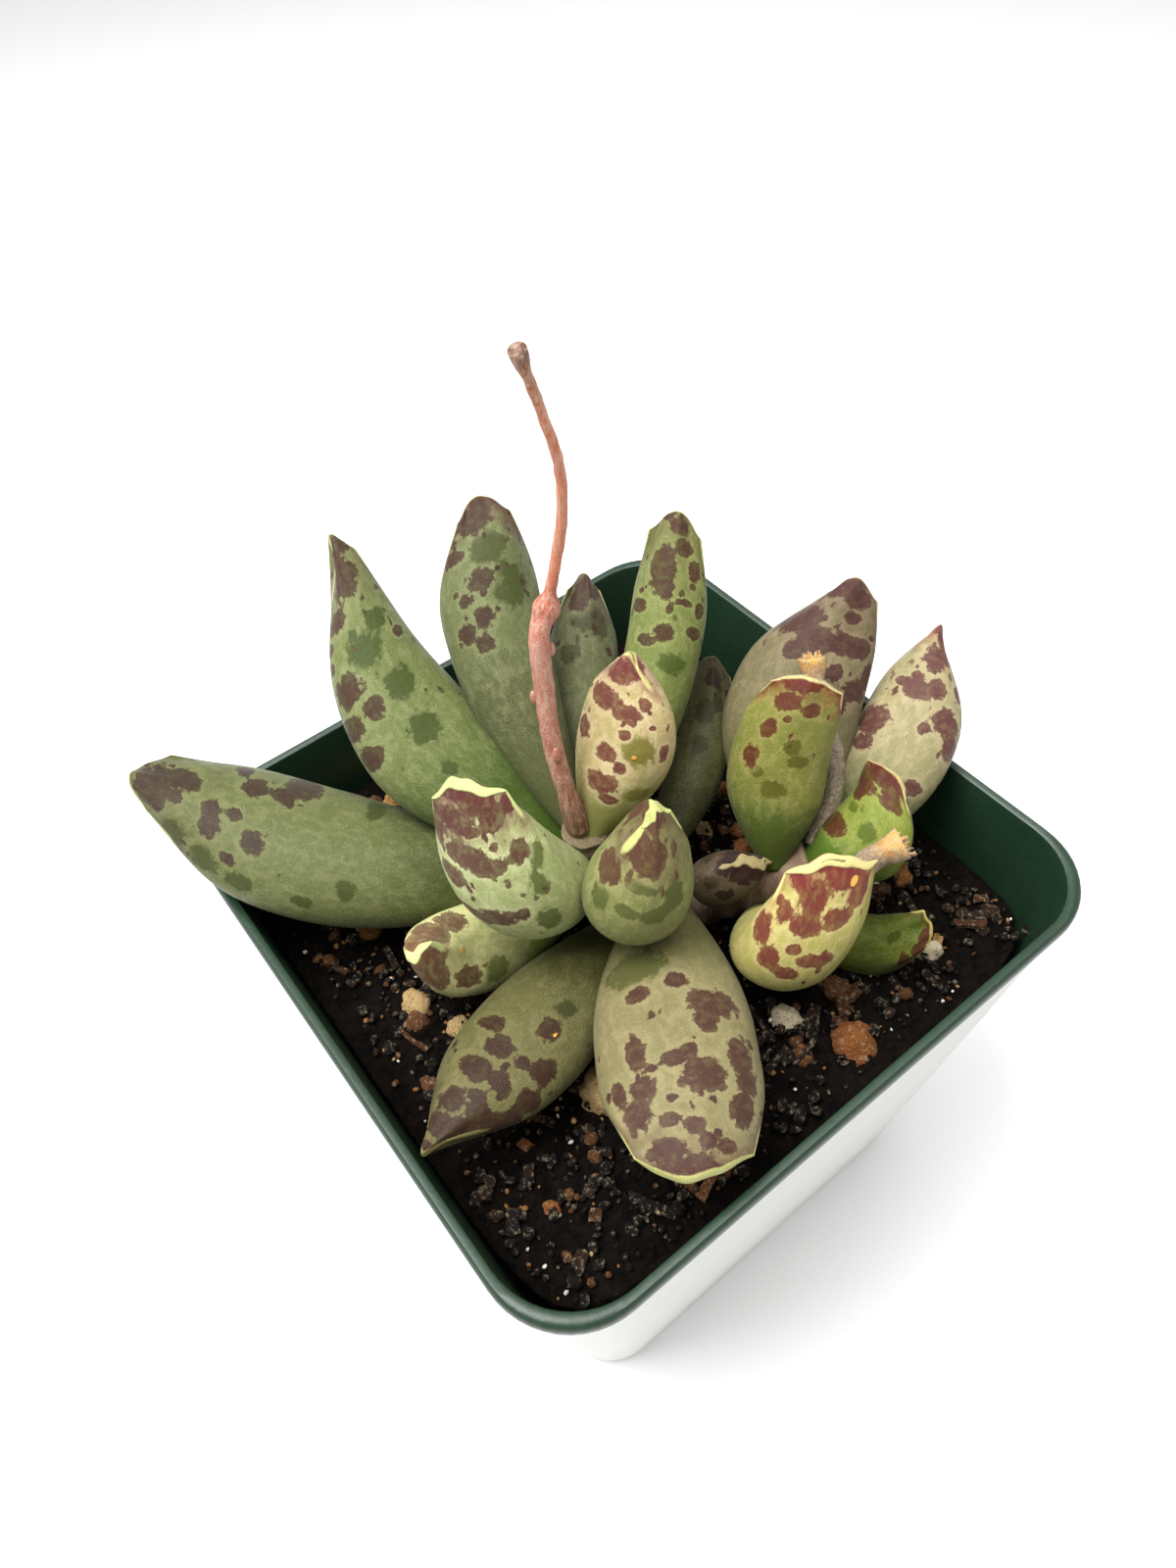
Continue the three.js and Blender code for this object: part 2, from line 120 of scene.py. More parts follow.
class Wiring:
    """Adds nodes to one node tree and joins them, so that a finish reads as a recipe."""

    def __init__(self, tree: NodeTree) -> None:
        """Take the tree that the nodes go into."""
        self.tree = tree

    def node(self, kind: str, **settings: object) -> Node:
        """Add a node.

        Args:
            kind: The node's type name.
            settings: Its options.

        Returns:
            The new node.
        """
        made = self.tree.nodes.new(kind)
        for name, value in settings.items():
            setattr(made, name, value)
        return made

    def feed(self, socket: Socket, value: object) -> None:
        """Join an output to an input, or set the input.

        Args:
            socket: The input.
            value: Another node's output, or a plain value.
        """
        if isinstance(value, bpy.types.NodeSocket):
            self.tree.links.new(value, socket)
        else:
            socket.default_value = value

    def math(self, operation: str, a: object, b: object, clamp: bool = False) -> Socket:
        """Work out a sum.

        Args:
            operation: The kind of sum.
            a: The first number.
            b: The second number.
            clamp: Whether the answer is kept between 0 and 1.

        Returns:
            The answer's socket.
        """
        made = self.node("ShaderNodeMath", operation=operation, use_clamp=clamp)
        self.feed(made.inputs[0], a)
        self.feed(made.inputs[1], b)
        return made.outputs[0]

    def times(self, a: object, b: object) -> Socket:
        """Multiply two numbers."""
        return self.math("MULTIPLY", a, b)

    def plus(self, a: object, b: object) -> Socket:
        """Add two numbers."""
        return self.math("ADD", a, b)

    def swing(self, cloud: Socket, span: float) -> Socket:
        """Swing a noise value about 0, over a span."""
        return self.times(self.math("SUBTRACT", cloud, 0.5), span)

    def vector(self, operation: str, a: object, b: object) -> Socket:
        """Work out a sum of vectors.

        Args:
            operation: The kind of sum.
            a: The first vector.
            b: The second vector, or the scale.

        Returns:
            The answer's socket.
        """
        made = self.node("ShaderNodeVectorMath", operation=operation)
        self.feed(made.inputs[0], a)
        self.feed(made.inputs["Scale"] if operation == "SCALE" else made.inputs[1], b)
        return made.outputs[0]

    def split(self, value: object) -> list[Socket]:
        """Split a vector into its three numbers."""
        made = self.node("ShaderNodeSeparateXYZ")
        self.feed(made.inputs[0], value)
        return list(made.outputs)

    def join(self, *parts: object) -> Socket:
        """Join three numbers into a vector."""
        made = self.node("ShaderNodeCombineXYZ")
        for socket, part in zip(made.inputs, parts):
            self.feed(socket, part)
        return made.outputs[0]

    def rise(self, value: object, start: object, end: object) -> Socket:
        """Rise smoothly from 0 to 1.

        Args:
            value: The number that is followed.
            start: Where the rise begins.
            end: Where it ends.

        Returns:
            The rise's socket.
        """
        made = self.node("ShaderNodeMapRange", interpolation_type="SMOOTHSTEP")
        self.feed(made.inputs["Value"], value)
        self.feed(made.inputs["From Min"], start)
        self.feed(made.inputs["From Max"], end)
        return made.outputs["Result"]

    def blend(self, share: object, a: object, b: object) -> Socket:
        """Lay one colour over another.

        Args:
            share: How much of the second colour shows.
            a: The colour beneath.
            b: The colour on top.

        Returns:
            The mixed colour's socket.
        """
        made = self.node("ShaderNodeMix", data_type="RGBA")
        self.feed(made.inputs["Factor"], share)
        self.feed(made.inputs[6], a)
        self.feed(made.inputs[7], b)
        return made.outputs[2]

    def noise_node(self, place: object, scale: object, detail: float, rough: float, twist: float) -> Node:
        """Add cloudy noise.

        Args:
            place: Where the pattern is read.
            scale: Clouds for each unit of place.
            detail: Layers of finer clouds.
            rough: How strong the finer layers are.
            twist: How far the clouds are pulled about.

        Returns:
            The noise node.
        """
        made = self.node("ShaderNodeTexNoise")
        self.feed(made.inputs["Vector"], place)
        self.feed(made.inputs["Scale"], scale)
        self.feed(made.inputs["Detail"], detail)
        self.feed(made.inputs["Roughness"], rough)
        self.feed(made.inputs["Distortion"], twist)
        return made

    def noise(self, place: object, scale: object, detail: float, rough: float, twist: float = 0) -> Socket:
        """Give cloudy noise as one number, with the same settings as its node."""
        return self.noise_node(place, scale, detail, rough, twist).outputs[0]

    def cells(self, place: object, scale: float) -> Node:
        """Add a pattern of cells.

        Args:
            place: Where the pattern is read.
            scale: Cells for each unit of place.

        Returns:
            The cell node.
        """
        made = self.node("ShaderNodeTexVoronoi")
        self.feed(made.inputs["Vector"], place)
        self.feed(made.inputs["Scale"], scale)
        return made

    def ramp(self, value: object, shades: Shades, how: str = "LINEAR") -> Socket:
        """Colour a value by a row of shades.

        Args:
            value: The value, from 0 to 1.
            shades: Where each shade starts, and the shade.
            how: How one shade passes into the next.

        Returns:
            The colour socket.
        """
        node = self.node("ShaderNodeValToRGB")
        node.color_ramp.interpolation = how
        stops = node.color_ramp.elements
        stops.remove(stops[1])
        stops[0].position, stops[0].color = shades[0][0], tone(shades[0][1])
        for start, shade in shades[1:]:
            stops.new(start).color = tone(shade)
        self.feed(node.inputs[0], value)
        return node.outputs[0]

    def attribute(self, name: str, output: str) -> Socket:
        """Read a value that the mesh carries.

        Args:
            name: The attribute's name.
            output: Vector for three numbers, Fac for one.

        Returns:
            The value's socket.
        """
        return self.node("ShaderNodeAttribute", attribute_name=name).outputs[output]

    def group(self, shared: NodeTree, **values: object) -> bpy.types.NodeOutputs:
        """Place a shared effect.

        Args:
            shared: The effect's node group.
            values: Its inputs by name, with _ for a space.

        Returns:
            The group node's outputs.
        """
        made = self.node("ShaderNodeGroup", node_tree=shared)
        for name, value in values.items():
            self.feed(made.inputs[name.replace("_", " ")], value)
        return made.outputs


class Shared(Enum):
    """The effects that several finishes share."""

    GRAIN = "fine_grain"
    BLOTCHES = "scattered_blotches"
    FIBRES = "long_fibres"
    DUST = "settled_dust"
    LEAF = "spotted_leaf_skin"


class Effects:
    """Builds each shared effect once and hands it out."""

    def __init__(self) -> None:
        """Start with nothing built."""
        self.built: dict[Shared, NodeTree] = {}

    def get(self, which: Shared) -> NodeTree:
        """Give an effect's node group, building it the first time.

        Args:
            which: The effect.

        Returns:
            Its node group.
        """
        if which not in self.built:
            builder: dict[Shared, Callable[[], NodeTree]] = {
                Shared.GRAIN: self._grain,
                Shared.BLOTCHES: self._blotches,
                Shared.FIBRES: self._fibres,
                Shared.DUST: self._dust,
                Shared.LEAF: self._leaf_skin,
            }
            self.built[which] = builder[which]()
        return self.built[which]

    def _start(
        self, which: Shared, inputs: Sequence[tuple[str, str, object]], outputs: Sequence[tuple[str, str]]
    ) -> tuple[Wiring, bpy.types.NodeOutputs, bpy.types.NodeInputs]:
        """Open a group with its sockets.

        Args:
            which: The effect.
            inputs: Name, kind and resting value of each input.
            outputs: Name and kind of each output.

        Returns:
            The wiring, the values that the group is given and the sockets that it fills.
        """
        tree = bpy.data.node_groups.new(which.value, "ShaderNodeTree")
        for name, kind, value in inputs:
            socket = tree.interface.new_socket(name, in_out="INPUT", socket_type=f"NodeSocket{kind}")
            if value is not None:
                socket.default_value = value
        for name, kind in outputs:
            tree.interface.new_socket(name, in_out="OUTPUT", socket_type=f"NodeSocket{kind}")
        wires = Wiring(tree)
        return wires, wires.node("NodeGroupInput").outputs, wires.node("NodeGroupOutput").inputs

    def _grain(self) -> NodeTree:
        """Fine even grain, as a shade and as a height."""
        w, given, out = self._start(
            Shared.GRAIN,
            [("Place", "Vector", None), ("Scale", "Float", 4.0), ("Depth", "Float", 0.5)],
            [("Shade", "Float"), ("Height", "Float")],
        )
        cloud = w.noise(given["Place"], given["Scale"], 4, 0.6)
        w.feed(out["Shade"], cloud)
        w.feed(out["Height"], w.times(cloud, given["Depth"]))
        return w.tree

    def _blotches(self) -> NodeTree:
        """Scattered blotches with ragged edges, longer one way, as a mask."""
        w, given, out = self._start(
            Shared.BLOTCHES,
            [
                ("Place", "Vector", None),
                ("Size", "Float", 1.0),
                ("Stretch", "Float", 1.5),
                ("Chance", "Float", 0.5),
                ("Softness", "Float", 0.1),
            ],
            [("Mask", "Float")],
        )
        warp = w.noise_node(given["Place"], 0.9, 4, 0.6, 0.0).outputs[1]
        pushed = w.vector("ADD", given["Place"], w.vector("SCALE", warp, 1.1))
        across = w.math("DIVIDE", 1.0, given["Size"])
        along = w.math("DIVIDE", 1.0, w.times(given["Size"], given["Stretch"]))
        cell = w.cells(w.vector("MULTIPLY", pushed, w.join(across, along, across)), 1.0).outputs
        lot = w.node("ShaderNodeSeparateColor")
        w.feed(lot.inputs[0], cell["Color"])
        shown = w.rise(w.math("SUBTRACT", given["Chance"], lot.outputs[0]), 0.0, 0.22)
        reach = w.times(w.plus(w.times(lot.outputs[1], 0.34), 0.24), shown)
        inside = w.math("SUBTRACT", reach, cell["Distance"])
        w.feed(out["Mask"], w.times(w.rise(inside, 0.0, given["Softness"]), shown))
        return w.tree

    def _fibres(self) -> NodeTree:
        """Long fibres that run along +Z of the place, as a shade and as a height."""
        w, given, out = self._start(
            Shared.FIBRES,
            [("Place", "Vector", None), ("Scale", "Float", 4.0)],
            [("Shade", "Float"), ("Height", "Float")],
        )
        drawn = w.vector("MULTIPLY", given["Place"], (1.0, 1.0, 0.12))
        cloud = w.noise(drawn, given["Scale"], 5, 0.6, 0.6)
        w.feed(out["Shade"], w.rise(cloud, 0.35, 0.66))
        w.feed(out["Height"], cloud)
        return w.tree

    def _dust(self) -> NodeTree:
        """Thin settled dust and dried water marks, as a mask."""
        w, given, out = self._start(
            Shared.DUST,
            [("Place", "Vector", None), ("Amount", "Float", 0.3)],
            [("Mask", "Float")],
        )
        thin = w.times(w.rise(w.noise(given["Place"], 0.12, 5, 0.7), 0.4, 0.75), 0.6)
        spots = w.rise(w.noise(given["Place"], 1.6, 2, 0.5), 0.68, 0.76)
        w.feed(out["Mask"], w.math("MULTIPLY", w.plus(thin, spots), given["Amount"], clamp=True))
        return w.tree

    def _leaf_skin(self) -> NodeTree:
        """Waxy leaf skin: smooth green base, mottled body, blotches, flushed tip and horny crest."""
        w, given, out = self._start(
            Shared.LEAF,
            [
                ("Place", "Vector", None),
                ("Frame", "Vector", None),
                ("Marks", "Vector", None),
                ("Edge", "Float", -1.0),
                ("Seed", "Float", 0.0),
                ("Base", "Color", (0.2, 0.3, 0.1, 1)),
                ("Body", "Color", (0.3, 0.3, 0.2, 1)),
                ("Mottle", "Color", (0.4, 0.4, 0.3, 1)),
                ("Brown", "Color", (0.1, 0.04, 0.03, 1)),
                ("Olive", "Color", (0.1, 0.1, 0.03, 1)),
                ("Tip", "Color", (0.2, 0.05, 0.05, 1)),
                ("Crest", "Color", (0.7, 0.65, 0.4, 1)),
                ("Green Until", "Float", 0.35),
                ("Mottle Amount", "Float", 0.5),
                ("Brown From", "Float", 0.5),
                ("Brown Amount", "Float", 0.7),
                ("Brown Size", "Float", 1.6),
                ("Brown Stretch", "Float", 1.6),
                ("Olive Amount", "Float", 0.2),
                ("Olive Size", "Float", 2.0),
                ("Tip From", "Float", 0.8),
                ("Tip Amount", "Float", 0.6),
            ],
            [("Color", "Color"), ("Roughness", "Float"), ("Height", "Float")],
        )
        shift = w.join(*(w.times(given["Seed"], stride) for stride in (17.3, 29.1, 7.7)))
        place = w.vector("ADD", given["Place"], shift)
        share = w.plus(w.split(given["Frame"])[1], w.swing(w.noise(place, 0.28, 4, 0.6), 0.34))
        ragged = w.noise(place, 1.3, 4, 0.65)
        fine = w.noise(place, 5.5, 3, 0.6)
        grit = w.noise(place, 13.0, 2, 0.7)
        streaks = w.noise(w.vector("MULTIPLY", place, (1.4, 0.8, 1.4)), 1.0, 5, 0.65, 0.4)
        dot = w.rise(w.split(given["Marks"])[2], 0.0, 0.25)
        ground = self._leaf_ground(w, given, share, streaks, fine, grit)
        ground, brown_mask = self._leaf_blotches(w, given, place, share, ragged, ground)
        colour = self._leaf_tip(w, given, share, ragged, fine, ground, brown_mask)
        w.feed(out["Color"], w.blend(dot, colour, tone("e0a64a")))
        gloss = w.plus(w.times(fine, 0.24), 0.34)
        w.feed(out["Roughness"], w.math("SUBTRACT", gloss, w.times(brown_mask, 0.05)))
        swell = w.plus(w.times(fine, 0.5), w.times(streaks, 0.7))
        swell = w.plus(swell, w.times(grit, 0.25))
        w.feed(out["Height"], w.plus(swell, w.times(dot, 1.2)))
        return w.tree

    @staticmethod
    def _leaf_ground(
        w: Wiring, given: bpy.types.NodeOutputs, share: Socket, streaks: Socket, fine: Socket, grit: Socket
    ) -> Socket:
        """Colour the leaf under its blotches.

        Args:
            w: The group's wiring.
            given: The values that the group is given.
            share: The share of the leaf's length, with a wandering edge.
            streaks: Noise that is drawn out along the leaf.
            fine: Fine noise.
            grit: The finest noise.

        Returns:
            The colour: base, body, pale mottling, dull flecks and bright points.
        """
        until = w.plus(given["Green Until"], 0.26)
        colour = w.blend(w.rise(share, given["Green Until"], until), given["Base"], given["Body"])
        pale = w.times(w.rise(streaks, 0.42, 0.68), given["Mottle Amount"])
        colour = w.blend(w.times(pale, w.rise(share, 0.1, 0.5)), colour, given["Mottle"])
        dull = w.times(w.rise(fine, 0.5, 0.64), 0.2)
        colour = w.blend(dull, colour, w.blend(0.55, colour, given["Olive"]))
        bright = w.times(w.rise(grit, 0.55, 0.7), 0.22)
        return w.blend(w.times(bright, w.rise(share, 0.1, 0.4)), colour, tone("d8d8c4"))

    def _leaf_blotches(
        self,
        w: Wiring,
        given: bpy.types.NodeOutputs,
        place: Socket,
        share: Socket,
        ragged: Socket,
        ground: Socket,
    ) -> tuple[Socket, Socket]:
        """Lay the olive blotches and the pale rings of the brown ones, and find the brown ones.

        Args:
            w: The group's wiring.
            given: The values that the group is given.
            place: The place on the leaf, moved by the leaf's seed.
            share: The share of the leaf's length, with a wandering edge.
            ragged: Noise that frays the blotches' edges.
            ground: The colour beneath.

        Returns:
            The colour, and the mask of the brown blotches.
        """
        blotches = self.get(Shared.BLOTCHES)
        drawn_brown, drawn_olive, _ = w.split(given["Marks"])
        far = w.split(given["Frame"])[2]
        jagged = w.swing(ragged, 1.5)
        olive = w.group(
            blotches,
            Place=w.vector("ADD", place, (31.0, 5.0, 11.0)),
            Size=given["Olive Size"],
            Stretch=1.3,
            Chance=w.times(w.times(given["Olive Amount"], w.rise(share, 0.12, 0.5)), far),
            Softness=0.12,
        )
        olive_mask = w.math("MAXIMUM", olive["Mask"], w.rise(w.plus(drawn_olive, jagged), 0.0, 0.3))
        colour = w.blend(w.times(olive_mask, 0.85), ground, given["Olive"])
        brown = w.group(
            blotches,
            Place=place,
            Size=given["Brown Size"],
            Stretch=given["Brown Stretch"],
            Chance=w.times(w.times(given["Brown Amount"], w.rise(share, given["Brown From"], 0.95)), far),
            Softness=0.1,
        )
        specks = w.group(
            blotches,
            Place=w.vector("ADD", place, (7.0, 3.0, 19.0)),
            Size=0.75,
            Stretch=1.5,
            Chance=w.times(w.rise(share, w.math("SUBTRACT", given["Brown From"], 0.1), 0.9), 0.42),
            Softness=0.14,
        )
        brown_field = w.plus(drawn_brown, jagged)
        halo = w.times(w.rise(brown_field, -0.55, -0.05), 0.4)
        colour = w.blend(halo, colour, given["Mottle"])
        brown_mask = w.math("MAXIMUM", brown["Mask"], w.rise(brown_field, -0.02, 0.18))
        return colour, w.math("MAXIMUM", brown_mask, specks["Mask"])

    @staticmethod
    def _leaf_tip(
        w: Wiring,
        given: bpy.types.NodeOutputs,
        share: Socket,
        ragged: Socket,
        fine: Socket,
        ground: Socket,
        brown_mask: Socket,
    ) -> Socket:
        """Flush the tip, fill in the brown blotches and edge the leaf with its horny crest.

        Args:
            w: The group's wiring.
            given: The values that the group is given.
            share: The share of the leaf's length, with a wandering edge.
            ragged: Noise that frays the edges.
            fine: Fine noise.
            ground: The colour beneath.
            brown_mask: Where the brown blotches are.

        Returns:
            The colour.
        """
        jagged = w.swing(ragged, 1.5)
        flush = w.plus(share, w.swing(ragged, 0.25))
        flushed = w.times(w.rise(flush, given["Tip From"], 1.0), given["Tip Amount"])
        colour = w.blend(flushed, ground, given["Tip"])
        faded = w.blend(0.26, given["Brown"], given["Body"])
        core = w.blend(w.rise(ragged, 0.44, 0.68), given["Brown"], faded)
        colour = w.blend(w.times(brown_mask, 0.92), colour, core)
        lined = w.rise(w.plus(given["Edge"], w.times(jagged, 0.4)), -0.8, -0.1)
        colour = w.blend(w.times(lined, 0.3), colour, given["Tip"])
        horn = w.rise(w.plus(given["Edge"], w.times(jagged, 0.16)), -0.06, 0.1)
        dull_horn = w.blend(0.25, given["Crest"], given["Body"])
        return w.blend(horn, colour, w.blend(w.rise(fine, 0.4, 0.65), given["Crest"], dull_horn))


EFFECTS = Effects()


def new_material(name: str, rough: float) -> tuple[Material, Wiring, Node]:
    """Start a material.

    Args:
        name: What the finish is called.
        rough: Its roughness where nothing else feeds it.

    Returns:
        The material, its wiring and its surface shader.
    """
    material = bpy.data.materials.new(name)
    material.use_nodes = True
    shader = material.node_tree.nodes["Principled BSDF"]
    shader.inputs["Roughness"].default_value = rough
    return material, Wiring(material.node_tree), shader


def raise_surface(w: Wiring, shader: Node, height: Socket, depth: float) -> None:
    """Give a surface its low relief.

    Args:
        w: The material's wiring.
        shader: Its surface shader.
        height: The relief, from 0 to about 1.
        depth: The relief's full depth in millimetres.
    """
    bump = w.node("ShaderNodeBump")
    bump.inputs["Strength"].default_value = 1.0
    bump.inputs["Distance"].default_value = depth * MM
    w.feed(bump.inputs["Height"], height)
    w.feed(shader.inputs["Normal"], bump.outputs[0])


def object_place(w: Wiring) -> Socket:
    """Give the place on the object in millimetres.

    Args:
        w: The material's wiring.

    Returns:
        The place's socket.
    """
    where = w.node("ShaderNodeTexCoord")
    return w.vector("SCALE", where.outputs["Object"], 1 / MM)


# Finishes


@dataclass(frozen=True)
class PlasticFinish:
    """Moulded pot plastic with faint grain, water marks and dust."""

    name: str
    body: str
    dusty: str
    rough: float
    dust: float
    relief: float = 0.06

    def material(self) -> Material:
        """Build the material."""
        material, w, shader = new_material(self.name, self.rough)
        place = object_place(w)
        grain = w.group(EFFECTS.get(Shared.GRAIN), Place=place, Scale=2.2, Depth=0.5)
        dust = w.group(EFFECTS.get(Shared.DUST), Place=place, Amount=self.dust)
        shade = w.blend(w.times(grain["Shade"], 0.3), tone(self.body), tone(self.dusty))
        w.feed(shader.inputs["Base Color"], w.blend(dust["Mask"], shade, tone(self.dusty)))
        w.feed(shader.inputs["Roughness"], w.plus(w.times(dust["Mask"], 0.35), self.rough))
        raise_surface(w, shader, grain["Height"], self.relief)
        return material


@dataclass(frozen=True)
class SoilFinish:
    """Damp dark potting mix; its two base tones are darker still with painted shade, the shade of the pot's
    hollow under the leaves.
    """

    name: str = "damp_potting_mix"
    wet_in_painted_shade: str = "060504"
    damp_in_painted_shade: str = "17100b"
    speck: str = "3a281a"
    rough: float = 0.9
    glint: float = 0.08
    relief: float = 0.8

    def material(self) -> Material:
        """Build the material."""
        material, w, shader = new_material(self.name, self.rough)
        shader.inputs["Specular IOR Level"].default_value = self.glint
        place = object_place(w)
        crumbs = w.cells(place, 0.9).outputs["Distance"]
        cloud = w.noise(place, 0.7, 6, 0.7)
        # The two base tones hold painted shade as well as the mix's own dark colour: they stand in for the
        # shade in the pot's hollow under the leaves.
        colour = w.blend(w.rise(cloud, 0.35, 0.7), tone(self.wet_in_painted_shade), tone(self.damp_in_painted_shade))
        colour = w.blend(w.rise(w.noise(place, 2.6, 3, 0.6), 0.66, 0.74), colour, tone(self.speck))
        w.feed(shader.inputs["Base Color"], colour)
        raise_surface(w, shader, w.plus(cloud, w.times(crumbs, 0.6)), self.relief)
        return material


@dataclass(frozen=True)
class GritFinish:
    """Loose grit whose colour is drawn bit by bit from the mix's own range."""

    name: str
    shades: Shades
    rough: float = 0.85
    pit: str = "1c130d"
    chalk: str = "d9c7a4"
    glint: float = 0.2
    relief: float = 0.25

    def material(self) -> Material:
        """Build the material."""
        material, w, shader = new_material(self.name, self.rough)
        place = object_place(w)
        shader.inputs["Specular IOR Level"].default_value = self.glint
        own = w.ramp(w.attribute("lot", "Fac"), self.shades, "CONSTANT")
        grain = w.group(EFFECTS.get(Shared.GRAIN), Place=place, Scale=2.4, Depth=1.0)
        pits = w.noise(place, 4.5, 3, 0.7)
        colour = w.blend(w.times(w.rise(pits, 0.5, 0.68), 0.55), own, tone(self.pit))
        colour = w.blend(w.times(w.rise(grain["Shade"], 0.5, 0.7), 0.25), colour, tone(self.chalk))
        w.feed(shader.inputs["Base Color"], colour)
        raise_surface(w, shader, w.plus(grain["Height"], pits), self.relief)
        return material


@dataclass(frozen=True)
class StalkFinish:
    """Skin of a stem or stalk: fibres along it, and colours that change up its height."""

    name: str
    shades: Shades
    low: float
    high: float
    streak: str
    streaked: float
    scale: float
    rough: float
    fleck: str = "4a3026"
    relief: float = 0.22

    def material(self) -> Material:
        """Build the material."""
        material, w, shader = new_material(self.name, self.rough)
        place = object_place(w)
        fibres = w.group(EFFECTS.get(Shared.FIBRES), Place=place, Scale=self.scale)
        grain = w.group(EFFECTS.get(Shared.GRAIN), Place=place, Scale=5.0, Depth=0.4)
        height = w.node("ShaderNodeMapRange")
        w.feed(height.inputs["Value"], w.split(place)[2])
        w.feed(height.inputs["From Min"], self.low)
        w.feed(height.inputs["From Max"], self.high)
        own = w.ramp(height.outputs[0], self.shades)
        colour = w.blend(w.times(fibres["Shade"], self.streaked), own, tone(self.streak))
        dark = w.times(w.rise(grain["Shade"], 0.55, 0.7), 0.35)
        w.feed(shader.inputs["Base Color"], w.blend(dark, colour, tone(self.fleck)))
        raise_surface(w, shader, w.plus(fibres["Height"], grain["Height"]), self.relief)
        return material


@dataclass(frozen=True)
class LeafFinish:
    """Colours and markings of one leaf, with painted light and shade in its tones: they are partly the
    leaf's own colour and partly the light that falls on it, darker for a leaf in shade and paler for a lit
    one. Shares run from 0 at the root to 1 at the tip.
    """

    seed: float
    base: str
    body: str
    mottle: str
    brown: str
    olive: str
    tip: str
    crest: str
    name: str = "leaf"
    green_until: float = 0.25
    mottled: float = 0.5
    brown_from: float = 0.5
    browned: float = 0.7
    brown_size: float = 2.0
    brown_stretch: float = 1.6
    olived: float = 0.15
    olive_size: float = 2.4
    tip_from: float = 0.75
    tipped: float = 0.55
    rough: float = 0.45
    glint: float = 0.18
    bloom: float = 0.05
    bloom_rough: float = 0.5
    relief: float = 0.11

    def material(self) -> Material:
        """Build the material."""
        material, w, shader = new_material(self.name, self.rough)
        skin = w.group(
            EFFECTS.get(Shared.LEAF),
            Place=w.attribute("leaf_place", "Vector"),
            Frame=w.attribute("leaf_frame", "Vector"),
            Marks=w.attribute("leaf_marks", "Vector"),
            Edge=w.attribute("leaf_edge", "Fac"),
            Seed=self.seed,
            Base=tone(self.base),
            Body=tone(self.body),
            Mottle=tone(self.mottle),
            Brown=tone(self.brown),
            Olive=tone(self.olive),
            Tip=tone(self.tip),
            Crest=tone(self.crest),
            Green_Until=self.green_until,
            Mottle_Amount=self.mottled,
            Brown_From=self.brown_from,
            Brown_Amount=self.browned,
            Brown_Size=self.brown_size,
            Brown_Stretch=self.brown_stretch,
            Olive_Amount=self.olived,
            Olive_Size=self.olive_size,
            Tip_From=self.tip_from,
            Tip_Amount=self.tipped,
        )
        w.feed(shader.inputs["Base Color"], skin["Color"])
        w.feed(shader.inputs["Roughness"], skin["Roughness"])
        shader.inputs["Specular IOR Level"].default_value = self.glint
        shader.inputs["Sheen Weight"].default_value = self.bloom
        shader.inputs["Sheen Roughness"].default_value = self.bloom_rough
        raise_surface(w, shader, skin["Height"], self.relief)
        return material


# Tools for the pieces


def finish_piece(
    bm: bmesh.types.BMesh,
    name: str,
    materials: Sequence[Material],
    nodes: Iterable[str] = (),
    smooth: bool = True,
) -> bpy.types.Object:
    """Turn a mesh under way into a piece that stands on the pot's frame.

    Args:
        bm: The mesh, in millimetres.
        name: The piece's name.
        materials: Its materials in the order of its faces' numbers.
        nodes: The solids that it stands for.
        smooth: Whether its faces are shaded round.

    Returns:
        The new piece.
    """
    bmesh.ops.scale(bm, vec=(MM, MM, MM), verts=bm.verts)
    mesh = bpy.data.meshes.new(name)
    bm.to_mesh(mesh)
    bm.free()
    for polygon in mesh.polygons:
        polygon.use_smooth = smooth
    for material in materials:
        mesh.materials.append(material)
    piece = bpy.data.objects.new(name, mesh)
    bpy.context.scene.collection.objects.link(piece)
    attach(piece, "root")
    if nodes:
        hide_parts(*nodes)
    LOG.info("%s: %d faces", name, len(mesh.polygons))
    return piece


def turned(angle: float, axis: str) -> Matrix:
    """Give a turn about an axis, by an angle in radians."""
    return Matrix.Rotation(angle, 4, axis)


def pointed(at: Vector, aim: Vector) -> Matrix:
    """Give the placing that stands +Z along an aim at a place."""
    return Matrix.Translation(at) @ aim.to_track_quat("Z", "Y").to_matrix().to_4x4()


